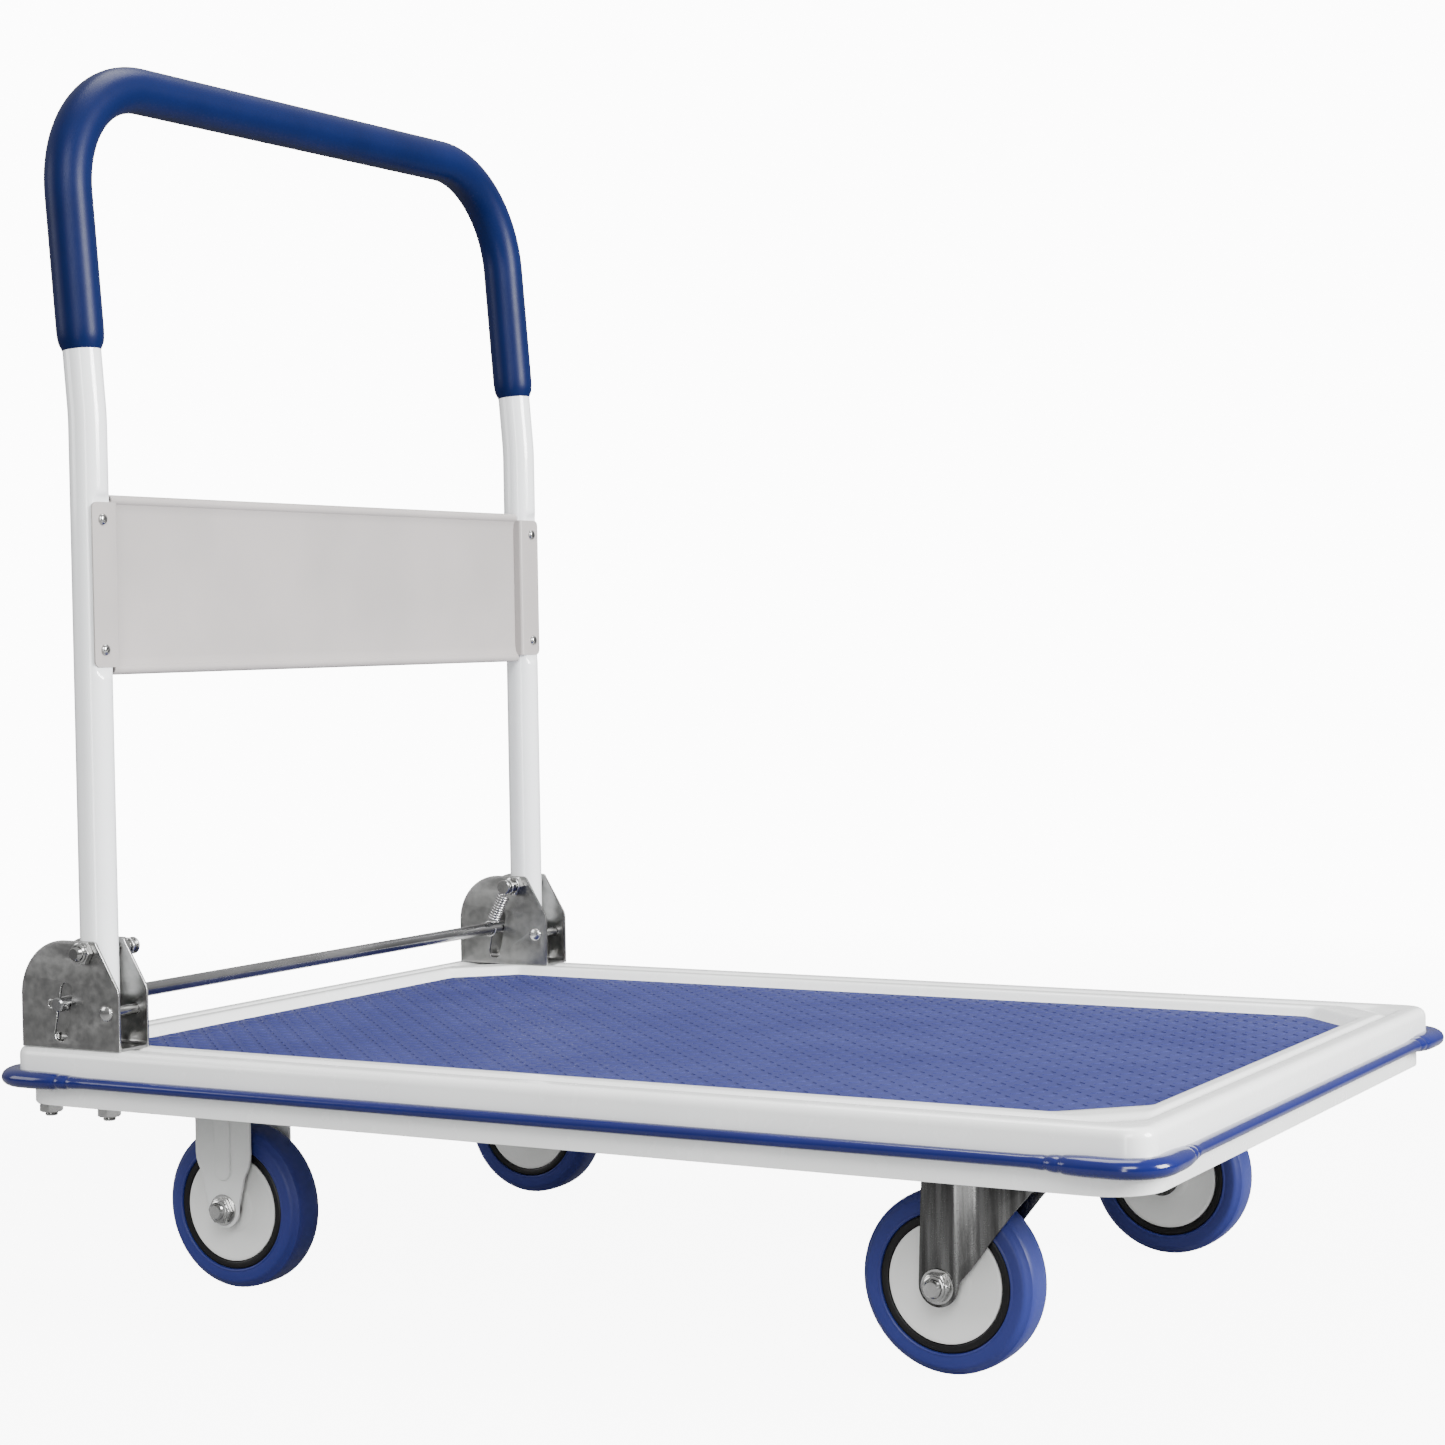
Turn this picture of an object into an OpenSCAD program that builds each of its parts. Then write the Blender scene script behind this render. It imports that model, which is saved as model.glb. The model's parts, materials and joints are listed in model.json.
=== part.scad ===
// Folding platform cart: pressed steel deck on two fixed and two swivel
// casters, with a push handle that folds forward over the deck.
// Millimetres. Origin on the floor under the deck's centre, +X to the front
// (away from the handle), +Z up. The right side is -Y, the left side is +Y.

/* [Deck] */
// Length of the deck over its skirt
deck_l = 912; // [760:1:1200]
// Width of the deck over its skirt
deck_w = 626; // [500:1:800]
// Corner radius of the deck in plan
corner_r = 20; // [12:0.5:40]
// Radius of the rounded edge between rim and skirt
edge_r = 3.5; // [2:0.1:6]
// Thickness of the pressed steel sheet
sheet_t = 2; // [1:0.1:3]
// Height from the skirt's lower edge to the rim's top
skirt_h = 43.5; // [36:0.5:60]
// Rise of the rim above the pan that holds the mat
rim_rise = 9; // [5:0.5:14]
// Width of the side rim, from the deck's edge to the pan
side_rim = 54; // [48:0.5:70]
// Width of the end rims, from the deck's edge to the pan
end_rim = 40; // [30:0.5:60]
// Run of the sloped wall between rim and pan
slope_run = 10; // [4:0.5:14]
// Corner chamfer of the pan and the mat
pan_chamfer = 43; // [20:1:80]
// Corner radius of the lower frame
frame_r = 38; // [20:1:40]

/* [Mat and bumper] */
// Thickness of the tread mat
mat_t = 3; // [2:0.1:5]
// Gap between the mat and the pan's wall
mat_gap = 2; // [1:0.5:5]
// Height of the bumper along the sides
bumper_h = 9; // [6:0.5:14]
// Reach of the bumper along the sides
bumper_out = 9; // [7:0.5:14]
// Height of the bumper at its corners
bumper_corner_h = 14; // [10:0.5:18]
// Reach of the bumper at its corners
bumper_corner_out = 14; // [10:0.5:18]
// Length of the bumper's thick stretch on each side of a corner
bumper_corner_l = 30; // [10:1:60]

/* [Wheels] */
// Wheel diameter
wheel_d = 125; // [100:1:160]
// Wheel width
wheel_w = 34; // [28:0.5:40]
// Outer diameter of the rim core, inside the tyre
core_d = 94; // [70:0.5:98]
// Diameter of the wheel's side covers
cover_d = 82; // [60:0.5:86]
// Outer diameter of a wheel bearing
bearing_d = 35; // [28:0.5:40]
// Axle bolt diameter
axle_d = 12; // [8:0.5:14]
// Outer diameter of the sleeve on the axle bolt
sleeve_d = 17; // [15:0.5:20]

/* [Casters] */
// Distance of the fixed casters' axle from the deck's handle end
rear_axle_x = 137; // [130:1:180]
// Distance of the swivel axes from the deck's front end
swivel_x = 142; // [115:1:180]
// Distance of the wheels' centre planes from the deck's long sides
wheel_inset = 107; // [100:1:150]
// Trail of the swivel casters' axle behind the swivel axis
trail = 36; // [25:0.5:45]
// Thickness of the fork sheet
fork_t = 2.5; // [2:0.1:4]
// Thickness of the mounting plates
plate_t = 3.5; // [2.5:0.1:5]
// Length of a mounting plate along the deck
plate_l = 92; // [80:1:110]
// Width of a mounting plate across the deck
plate_w = 100; // [84:1:120]
// Hole spacing of a mounting plate along the deck
hole_x = 66; // [60:1:80]
// Hole spacing of a mounting plate across the deck
hole_y = 78; // [74:1:90]
// Width of a fixed fork's leg
rigid_leg_w = 52; // [40:1:60]
// Gap between the wheel and the top of its fork
head_gap = 13; // [10:0.5:20]
// Kingpin diameter
kingpin_d = 12; // [10:0.5:16]
// Ball diameter of the swivel bearing
ball_d = 6; // [5:0.5:7]
// Pitch radius of the swivel bearing's balls
ball_pitch_r = 25; // [22:0.5:28]

/* [Brackets] */
// Length of a hinge bracket along the deck
bracket_l = 95; // [85:0.5:110]
// Height of a hinge bracket
bracket_h = 81.5; // [75:0.5:95]
// Thickness of the bracket sheet
bracket_t = 2.2; // [1.5:0.1:3]
// Distance of the bracket from the deck's handle end
bracket_inset = 11; // [9:0.5:20]
// Handle pivot: distance from the bracket's handle end
pivot_u = 63; // [60:0.5:66]
// Handle pivot: height above the rim
pivot_v = 73; // [71:0.5:80]
// Diameter of the pivot stud
stud_d = 10; // [8:0.5:12]
// Diameter of the release bar
bar_d = 11; // [8:0.5:12]
// Travel of the release bar down its slots
bar_travel = 22; // [15:0.5:22]
// Diameter of the stop pins
stop_d = 8; // [6:0.5:10]
// Diameter of the bolts that hold the brackets
anchor_d = 10; // [8:0.5:10]
// Thickness of the springs' wire
spring_wire = 1.5; // [1:0.1:1.8]
// Radius of the springs' coils, to the middle of the wire
coil_r = 5.2; // [3.5:0.1:5.6]

/* [Handle] */
// Outer diameter of the handle tube
tube_d = 28; // [22:0.5:32]
// Wall of the handle tube
tube_wall = 1.5; // [1.2:0.1:2.5]
// Height of the crossbar's axis above the rim
handle_h = 728; // [600:1:800]
// Height above the rim where the legs begin to lean
bend_h = 472; // [430:1:520]
// Lean of the upper part of the handle, in degrees
lean = 4.6; // [0.5:0.1:8]
// Radius of the handle's upper corners, at the tube's axis
handle_r = 90; // [60:1:120]
// Wall of the soft grip
grip_wall = 3.7; // [2:0.1:6]
// Height of the grip's lower ends above the rim
grip_h = 521; // [490:1:600]
// Height of the panel's lower edge above the rim
panel_z = 279; // [240:1:300]
// Height of the panel
panel_h = 135; // [100:1:150]
// Thickness of the panel sheet
panel_t = 1.2; // [0.8:0.1:2]
// Diameter of the panel's rolled edges
bead_d = 8; // [5:0.5:10]

/* [Hidden] */
$fn = 48;
run_gap = 0.05;
side_gap = 0.3;
cut = 1;

// Heights, from the floor up
wheel_r = wheel_d / 2;
fork_head_z = wheel_d + head_gap;
head_t = 3;
race_t = 1.8;
ball_gap = 0.2;
ball_z = fork_head_z + head_t + race_t + ball_gap + ball_d / 2;
cup_h = 3.8;
plate_z = ball_z + ball_d / 2 + ball_gap + cup_h;
rail_z = plate_z + plate_t;
rail_h = 23.5;
pan_under = rail_z + rail_h;
pan_top = pan_under + sheet_t;
deck_top = pan_top + rim_rise;
skirt_z = deck_top - skirt_h;
bumper_rise = 20;
hem_cover = 1.5;
bumper_z = skirt_z + bumper_rise;
hem_z = bumper_z - hem_cover;

// The pan and what stands in it
pan_l = deck_l - 2 * end_rim;
pan_w = deck_w - 2 * side_rim + 2 * mat_gap;
frame_gap = 0.5;
frame_l = deck_l - 2 * sheet_t - 2 * frame_gap;
frame_w = deck_w - 2 * sheet_t - 2 * frame_gap;
inner_w = frame_w - 2 * sheet_t - 2 * frame_gap;
skirt_hole_d = 5;
skirt_hole_z = skirt_z + 14;
skirt_hole_end = [40, 28];

// Places along and across the deck
rear_x = rear_axle_x - deck_l / 2;
front_x = deck_l / 2 - swivel_x;
caster_y = deck_w / 2 - wheel_inset;
bracket_x = bracket_inset - deck_l / 2;
pivot_x = bracket_x + pivot_u;
pivot_z = deck_top + pivot_v;
tube_play = 0.8;
bracket_half = tube_d / 2 + tube_play + bracket_t;
leg_y = deck_w / 2 - edge_r - bracket_half;

// Round handle-side corner and cut front corner of a bracket
bracket_arc = 42.8;
bracket_cut = [22.5, 36];

// Release bar and its slots, measured from the bracket's rear lower corner
slot_low = [38.2, 11];
slot_high = [44.7, 44];
slot_len = norm(slot_high - slot_low);
slot_dir = (slot_high - slot_low) / slot_len;
slot_r = bar_d / 2 + side_gap;
slot_spare = 1.4;
bar_uv = slot_low + slot_dir * (bar_travel + slot_spare);
bar_x = bracket_x + bar_uv[0];
bar_z = deck_top + bar_uv[1];
bar_end = 9;
pin_in = 4;
pin_d = 3.2;
bar_y = leg_y + bracket_half + bar_end;
stop_uv = [pivot_u + 20, 28.5];
rivet_lip = 2;
rivet_h = 2.5;
// The tube ends short of the bar's reach about the pivot
swing_gap = 1.1;
bar_reach = norm([pivot_u, pivot_v] - bar_uv) - bar_d / 2 - swing_gap;
tube_below = sqrt(pow(bar_reach, 2) - pow(tube_d / 2, 2));

// Bolts through each bracket's base
anchor_u = [12, 69];
anchor_head_h = 6.4;
anchor_nut_h = 8;
anchor_edge = 8;
channel_x0 = -frame_l / 2 + sheet_t + frame_gap;
channel_l = bracket_x + anchor_u[1] + anchor_edge - channel_x0;
channel_t = 2.5;

// Handle
tube_r = tube_d / 2;
grip_r = tube_r + grip_wall;
bend_z = deck_top + bend_h;
// Lengths along the lean, kept to a hundredth so that joined faces meet
top_len = to_hundredth((handle_h - bend_h) / cos(lean));
grip_start = to_hundredth((grip_h - bend_h) / cos(lean));
// The bend is a ball a little fatter than the tube, and both straights end in it
bend_gap = 1;
bend_swell = 0.3;
panel_low = deck_top + panel_z;
panel_high = panel_low + panel_h;
flat_d = 3;
ear_drop = 6;
ear_out = 11;
flat_over = 8;
screw_d = 4.4;
screw_in = 13;
panel_x = pivot_x + 3;
ear_x = pivot_x + tube_r - flat_d;
panel_half = leg_y - tube_r - 2;
bush_r = 7.5;
nut_h = 8;
stud_in = 17.5;
stud_out = 12;
spring_in = 14.5;
hex_share = 0.92;

// Forks
rigid_in = wheel_w / 2 + 6;
swivel_in = wheel_w / 2 + 7.5;
web_in = wheel_w / 2 + 1.5;
eye_r = 14;
bolt_d = 8;
hole_play = 0.4;
hex_axle = 10.4;
axle_head_h = 7;
thread_end = 3;
caster_nut_h = 6.5;
thread_over = 2.5;
swivel_head_r = 38;
stiffener_w = 60;
stiffener_y = 125;
rail_l = plate_l + 2;
rail_t = 2;

// ---------- shared shapes ----------

function to_hundredth(v) = round(100 * v) / 100;

// Rectangle with round corners
module round_rect(l, w, r) {
    square([l - 2 * r, w], center = true);
    square([l, w - 2 * r], center = true);
    for (x = [-1, 1], y = [-1, 1])
        translate([x * (l / 2 - r), y * (w / 2 - r)])
            circle(r);
}

// Rectangle with cut corners
module cut_rect(l, w, c) {
    polygon([[c - l / 2, -w / 2], [l / 2 - c, -w / 2], [l / 2, c - w / 2],
        [l / 2, w / 2 - c], [l / 2 - c, w / 2], [c - l / 2, w / 2],
        [-l / 2, w / 2 - c], [-l / 2, c - w / 2]]);
}

// Cut-corner block that grows outward by run from z0 up to z1
module flared_block(grow, z0, z1) {
    thin = 0.01;
    c = pan_chamfer + 0.586 * grow;
    hull() {
        translate([0, 0, z0])
            linear_extrude(thin)
                cut_rect(pan_l + 2 * grow, pan_w + 2 * grow, c);
        translate([0, 0, z1])
            linear_extrude(thin)
                cut_rect(pan_l + 2 * (grow + slope_run),
                    pan_w + 2 * (grow + slope_run), c + 0.586 * slope_run);
    }
}

// Cylinder across the cart, from y0 to y1
module cross_pin(r, y0, y1, sides = 48) {
    translate([0, y0, 0])
        rotate([-90, 0, 0])
            cylinder(h = y1 - y0, r = r, $fn = sides);
}

// Ring across the cart, from y0 to y1
module cross_ring(ro, ri, y0, y1) {
    translate([0, y0, 0])
        rotate([-90, 0, 0])
            linear_extrude(y1 - y0)
                ring(ro, ri);
}

module ring(ro, ri) {
    difference() {
        circle(ro);
        circle(ri);
    }
}

// Stands a flat side view up: its x along the cart, its y upward
module side_view(y0, thick) {
    translate([0, y0 + thick, 0])
        rotate([90, 0, 0])
            linear_extrude(thick)
                children();
}

// Both sides of the cart: s is -1 on the right, +1 on the left
module both_sides() {
    for (s = [-1, 1])
        on_side(s) children();
}

module on_side(s) {
    if (s > 0) children();
    else mirror([0, 1, 0]) children();
}

// ---------- deck ----------

// Deck block with its rounded upper edge
module deck_block() {
    l = deck_l - 2 * edge_r;
    w = deck_w - 2 * edge_r;
    z = deck_top - edge_r;
    translate([0, 0, hem_z])
        linear_extrude(z - hem_z)
            round_rect(deck_l, deck_w, corner_r);
    translate([0, 0, z])
        linear_extrude(edge_r)
            round_rect(l, w, corner_r - edge_r);
    for (s = [-1, 1]) {
        translate([corner_r - deck_l / 2, s * w / 2, z])
            rotate([0, 90, 0])
                cylinder(h = deck_l - 2 * corner_r, r = edge_r);
        translate([s * l / 2, deck_w / 2 - corner_r, z])
            rotate([90, 0, 0])
                cylinder(h = deck_w - 2 * corner_r, r = edge_r);
    }
    for (x = [-1, 1], y = [-1, 1])
        translate([x * (deck_l / 2 - corner_r), y * (deck_w / 2 - corner_r), z])
            rotate_extrude()
                translate([corner_r - edge_r, 0])
                    circle(edge_r);
}

module anchor_places() {
    for (s = [-1, 1], u = anchor_u)
        translate([bracket_x + u, s * leg_y, 0])
            children();
}

module deck_shell() {
    color("gainsboro")
        difference() {
            deck_block();
            difference() {
                translate([0, 0, hem_z - cut])
                    linear_extrude(deck_top - sheet_t - hem_z + cut)
                        round_rect(deck_l - 2 * sheet_t, deck_w - 2 * sheet_t,
                            corner_r - sheet_t);
                flared_block(sheet_t, pan_under, pan_under + rim_rise);
            }
            flared_block(0, pan_top, deck_top + 0.02);
            anchor_places()
                translate([0, 0, hem_z])
                    cylinder(h = deck_top, d = anchor_d);
        }
}

module lower_frame() {
    color("gainsboro")
        difference() {
            translate([0, 0, skirt_z])
                linear_extrude(deck_top - sheet_t - skirt_z)
                    difference() {
                        round_rect(frame_l, frame_w, frame_r);
                        round_rect(frame_l - 2 * sheet_t,
                            frame_w - 2 * sheet_t, frame_r - sheet_t);
                    }
            for (x = [skirt_hole_end[0] - deck_l / 2,
                    deck_l / 2 - skirt_hole_end[1]])
                translate([x, 0, skirt_hole_z])
                    cross_pin(skirt_hole_d / 2, -deck_w, deck_w);
        }
}

// What fits inside the lower frame, in plan
module inside_frame() {
    in = 2 * (sheet_t + frame_gap);
    round_rect(frame_l - in, frame_w - in, frame_r - in / 2);
}

module handle_channel() {
    wall_h = deck_top - sheet_t - skirt_z;
    color("gainsboro")
        difference() {
            union() {
                translate([0, 0, skirt_z])
                    linear_extrude(channel_t)
                        intersection() {
                            inside_frame();
                            translate([channel_x0, -deck_w / 2])
                                square([channel_l, deck_w]);
                        }
                translate([channel_x0, frame_r - inner_w / 2, skirt_z])
                    cube([channel_t, inner_w - 2 * frame_r, wall_h]);
                translate([channel_x0 + channel_l - channel_t,
                        -pan_w / 2, skirt_z])
                    cube([channel_t, pan_w, pan_under - skirt_z]);
            }
            anchor_places()
                cylinder(h = deck_top, d = anchor_d);
        }
}

// Upright channel across the deck with caster bolt holes in its floor
module caster_rail(x) {
    color("gainsboro")
        difference() {
            translate([x - rail_l / 2, -inner_w / 2, rail_z])
                cube([rail_l, inner_w, rail_h]);
            translate([x - rail_l / 2 + rail_t, -inner_w / 2 - cut,
                    rail_z + rail_t])
                cube([rail_l - 2 * rail_t, inner_w + 2 * cut, rail_h]);
            caster_places(x)
                cylinder(h = deck_top, d = bolt_d + hole_play);
        }
}

module caster_places(x) {
    for (s = [-1, 1], i = [-1, 1], j = [-1, 1])
        translate([x + i * hole_x / 2, s * caster_y + j * hole_y / 2, 0])
            children();
}

module stiffener_rails() {
    x0 = rear_x + rail_l / 2 + side_gap;
    x1 = front_x - rail_l / 2 - side_gap;
    color("gainsboro")
        for (s = [-1, 1])
            translate([x0, s * stiffener_y - stiffener_w / 2, rail_z])
                difference() {
                    cube([x1 - x0, stiffener_w, rail_h]);
                    translate([-cut, rail_t, rail_t])
                        cube([x1 - x0 + 2 * cut, stiffener_w - 2 * rail_t,
                            rail_h]);
                }
}

module mat() {
    color("royalblue")
        translate([0, 0, pan_top])
            linear_extrude(mat_t)
                cut_rect(pan_l - 2 * mat_gap, pan_w - 2 * mat_gap,
                    pan_chamfer);
}

// Bumper section: flat against the skirt, round outside
module bumper_section(out, h) {
    translate([0, -h / 2])
        square([out - h / 2, h]);
    translate([out - h / 2, 0])
        circle(h / 2);
}

module bumper_bar(x0, y, x1, out, h) {
    translate([x0, y, bumper_z])
        rotate([90, 0, 90])
            linear_extrude(x1 - x0)
                bumper_section(out, h);
}

// One side of the bumper, thin in the middle and thick at both ends
module bumper_side(l, y) {
    e = l / 2 - corner_r;
    bumper_bar(-e, y, bumper_corner_l - e, bumper_corner_out, bumper_corner_h);
    bumper_bar(bumper_corner_l - e, y, e - bumper_corner_l,
        bumper_out, bumper_h);
    bumper_bar(e - bumper_corner_l, y, e, bumper_corner_out, bumper_corner_h);
}

module bumper() {
    color("mediumblue") {
        for (a = [0, 180])
            rotate([0, 0, a]) {
                bumper_side(deck_l, deck_w / 2);
                rotate([0, 0, 90])
                    bumper_side(deck_w, deck_l / 2);
            }
        for (i = [0:3])
            translate([(i == 0 || i == 3 ? 1 : -1) * (deck_l / 2 - corner_r),
                    (i < 2 ? 1 : -1) * (deck_w / 2 - corner_r), bumper_z])
                rotate([0, 0, 90 * i])
                    rotate_extrude(angle = 90)
                        translate([corner_r, 0])
                            bumper_section(bumper_corner_out, bumper_corner_h);
    }
}

// ---------- hinge brackets ----------

module slot_shape() {
    translate(slot_low) circle(slot_r);
    translate(slot_high) circle(slot_r);
    translate(slot_low)
        rotate(atan2(slot_dir[1], slot_dir[0]))
            translate([0, -slot_r])
                square([slot_len, 2 * slot_r]);
}

module bracket_side() {
    low = bracket_h - bracket_arc;
    difference() {
        union() {
            square([bracket_arc, low]);
            intersection() {
                translate([bracket_arc, low]) circle(bracket_arc);
                square([bracket_arc, bracket_h]);
            }
            polygon([[bracket_arc, 0], [bracket_l, 0],
                [bracket_l, bracket_h - bracket_cut[1]],
                [bracket_l - bracket_cut[0], bracket_h],
                [bracket_arc, bracket_h]]);
        }
        slot_shape();
        translate([pivot_u, pivot_v]) circle(stud_d / 2);
        translate(stop_uv) circle(stop_d / 2);
    }
}

// U-shaped bracket on one side: s is -1 or +1
module bracket(s) {
    color("darkgray")
        translate([bracket_x, s * leg_y, deck_top])
            difference() {
                union() {
                    translate([0, -bracket_half, 0])
                        cube([bracket_l, 2 * bracket_half, bracket_t]);
                    for (y = [-bracket_half, bracket_half - bracket_t])
                        side_view(y, bracket_t)
                            bracket_side();
                }
                for (u = anchor_u)
                    translate([u, 0, -cut])
                        cylinder(h = 2 * cut + bracket_t, d = anchor_d);
            }
}

module bracket_bolts() {
    head_z = deck_top + bracket_t;
    color("silver")
        anchor_places() {
            translate([0, 0, skirt_z - anchor_nut_h - thread_end])
                cylinder(h = head_z - skirt_z + anchor_nut_h + thread_end,
                    d = anchor_d);
            translate([0, 0, head_z])
                cylinder(h = anchor_head_h, r = hex_share * anchor_d, $fn = 6);
        }
}

module bracket_nuts() {
    color("silver")
        anchor_places()
            translate([0, 0, skirt_z - anchor_nut_h])
                difference() {
                    cylinder(h = anchor_nut_h, r = hex_share * anchor_d, $fn = 6);
                    translate([0, 0, -cut])
                        cylinder(h = anchor_nut_h + 2 * cut, d = anchor_d);
                }
}

module stop_pins() {
    color("silver")
        for (s = [-1, 1])
            translate([bracket_x + stop_uv[0], s * leg_y,
                    deck_top + stop_uv[1]]) {
                cross_pin(stop_d / 2, -bracket_half, bracket_half);
                for (y = [-bracket_half - rivet_h, bracket_half])
                    cross_pin(stop_d / 2 + rivet_lip, y, y + rivet_h);
            }
}

module pivot_studs() {
    color("silver")
        both_sides()
            translate([pivot_x, leg_y, pivot_z]) {
                cross_pin(stud_d / 2, -bracket_half - stud_in,
                    bracket_half + stud_out);
                cross_pin(stud_d / 2 + 1.5, -bracket_half - stud_in - 2,
                    -bracket_half - stud_in);
            }
}

module pivot_nuts() {
    color("silver")
        both_sides()
            translate([pivot_x, leg_y, pivot_z])
                for (y = [-bracket_half - nut_h, bracket_half])
                    difference() {
                        cross_pin(hex_share * stud_d, y, y + nut_h, 6);
                        cross_pin(stud_d / 2, y - cut, y + nut_h + cut);
                    }
}

// Closed-coil tension spring from the pivot stud to the release bar
module spring(s) {
    wire = spring_wire;
    eye_top = stud_d / 2 + 0.2 + wire / 2;
    eye_low = bar_d / 2 + side_gap + wire / 2;
    neck = 2.5;
    pitch = 0.98 * wire;
    span = norm([pivot_x - bar_x, pivot_z - bar_z]);
    coil_low = eye_low + neck;
    turns = floor((span - eye_top - neck - coil_low) / wire);
    color("lightgray")
        translate([bar_x, s * (leg_y - bracket_half - spring_in), bar_z])
            rotate([0, atan2(pivot_x - bar_x, pivot_z - bar_z), 0]) {
                translate([0, 0, coil_low])
                    rotate_extrude()
                        for (i = [0:turns])
                            translate([coil_r, i * pitch])
                                circle(wire / 2, $fn = 16);
                for (e = [[0, eye_low], [span, eye_top]])
                    translate([0, 0, e[0]])
                        rotate([90, 0, 0])
                            rotate_extrude()
                                translate([e[1], 0])
                                    circle(wire / 2, $fn = 16);
                for (z = [[eye_low, coil_low],
                        [coil_low + turns * pitch, span - eye_top]])
                    translate([0, 0, z[0]])
                        cylinder(h = z[1] - z[0], d = wire, $fn = 16);
                for (z = [coil_low, coil_low + turns * pitch])
                    translate([-coil_r, 0, z])
                        rotate([0, 90, 0])
                            cylinder(h = 2 * coil_r, d = wire * 0.9, $fn = 16);
            }
}

module release_bar() {
    color("dimgray")
        translate([bar_x, 0, bar_z])
            difference() {
                cross_pin(bar_d / 2, -bar_y, bar_y);
                for (s = [-1, 1])
                    translate([-bar_d, s * (bar_y - pin_in), 0])
                        rotate([0, 90, 0])
                            cylinder(h = 2 * bar_d, d = pin_d);
            }
}

module bar_pins() {
    color("silver")
        for (s = [-1, 1])
            translate([bar_x - bar_d, s * (bar_y - pin_in), bar_z])
                rotate([0, 90, 0]) {
                    cylinder(h = 2 * bar_d, d = pin_d);
                    cylinder(h = 2, d = pin_d + 2);
                }
}

// ---------- handle ----------

// The leaning upper part of the handle, from its bends to the crossbar
module in_lean() {
    translate([pivot_x, 0, bend_z])
        rotate([0, -lean, 0])
            children();
}

// Upper U of the handle with the given section, its legs starting at z0
module upper_u(z0) {
    leg_top = top_len - handle_r;
    in_lean() {
        both_sides() {
            translate([0, leg_y, z0])
                linear_extrude(leg_top - z0)
                    children();
            translate([0, leg_y - handle_r, leg_top])
                rotate([90, 0, 90])
                    rotate_extrude(angle = 90)
                        translate([handle_r, 0])
                            children();
        }
        translate([0, handle_r - leg_y, top_len])
            rotate([-90, 0, 0])
                linear_extrude(2 * (leg_y - handle_r))
                    children();
    }
}

// Solid bar of radius r along the whole handle, its legs starting at low
// and pressed flat in front behind the panel's ears
module handle_bar(r, low) {
    h = panel_h + 2 * (flat_over - ear_drop);
    difference() {
        both_sides()
            translate([pivot_x, leg_y, low])
                cylinder(h = bend_z - bend_gap - low, r = r);
        both_sides()
            translate([pivot_x + r - flat_d, leg_y - tube_d,
                    panel_low + ear_drop - flat_over])
                cube([tube_d, 2 * tube_d, h]);
    }
    both_sides()
        translate([pivot_x, leg_y, bend_z])
            sphere(r = r + bend_swell);
    upper_u(bend_gap)
        circle(r);
}

module handle_tube() {
    low = pivot_z - tube_below;
    color("whitesmoke")
        difference() {
            handle_bar(tube_r, low);
            handle_bar(tube_r - tube_wall, low - cut);
            both_sides()
                translate([pivot_x, leg_y, pivot_z])
                    cross_pin(bush_r, -tube_d, tube_d);
            screw_places()
                cylinder(h = tube_d / 2, d = screw_d);
        }
}

module handle_grip() {
    color("mediumblue")
        upper_u(grip_start)
            ring(grip_r, tube_r + run_gap);
}

// Screw axes, pointing back into the legs from the ears' front faces
module screw_places() {
    for (s = [-1, 1], z = [panel_low + ear_drop + screw_in,
            panel_high - ear_drop - screw_in])
        translate([ear_x + panel_t, s * leg_y, z])
            rotate([0, -90, 0])
                children();
}

module handle_panel() {
    ear_w = leg_y + ear_out - (panel_half - panel_t);
    color("lightgray")
        difference() {
            union() {
                translate([panel_x, -panel_half, panel_low + bead_d / 2])
                    cube([panel_t, 2 * panel_half, panel_h - bead_d]);
                for (z = [panel_low + bead_d / 2, panel_high - bead_d / 2])
                    translate([panel_x + panel_t / 2, 0, z])
                        cross_ring(bead_d / 2, bead_d / 2 - panel_t,
                            -panel_half, panel_half);
                both_sides()
                    translate([panel_x, panel_half - panel_t,
                            panel_low + ear_drop]) {
                        h = panel_h - 2 * ear_drop;
                        cube([ear_x + panel_t - panel_x, panel_t, h]);
                        translate([ear_x - panel_x, 0, 0])
                            cube([panel_t, ear_w, h]);
                    }
            }
            screw_places()
                cylinder(h = 2 * panel_t, d = screw_d);
        }
}

module panel_screws() {
    color("silver")
        screw_places() {
            cylinder(h = 10, d = screw_d);
            translate([0, 0, -2.6])
                cylinder(h = 2.6, d = 2 * screw_d);
        }
}

module pivot_bushes() {
    half = tube_r + 0.5;
    color("silver")
        both_sides()
            translate([pivot_x, leg_y, pivot_z])
                cross_ring(bush_r, stud_d / 2 + run_gap, -half, half);
}

// ---------- casters ----------

// Mounting plate of a caster centred on the origin
module mount_plate() {
    difference() {
        linear_extrude(plate_t)
            round_rect(plate_l, plate_w, 8);
        for (i = [-1, 1], j = [-1, 1])
            translate([i * hole_x / 2, j * hole_y / 2, -cut])
                cylinder(h = plate_t + 2 * cut, d = bolt_d + hole_play);
    }
}

module rigid_leg_view() {
    half = rigid_leg_w / 2;
    shoulder = 0.55 * wheel_r;
    difference() {
        union() {
            circle(eye_r);
            polygon([[-half, plate_z - wheel_r], [-half, shoulder],
                [-eye_r, 0], [eye_r, 0], [half, shoulder],
                [half, plate_z - wheel_r]]);
        }
        circle(axle_d / 2);
    }
}

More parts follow.
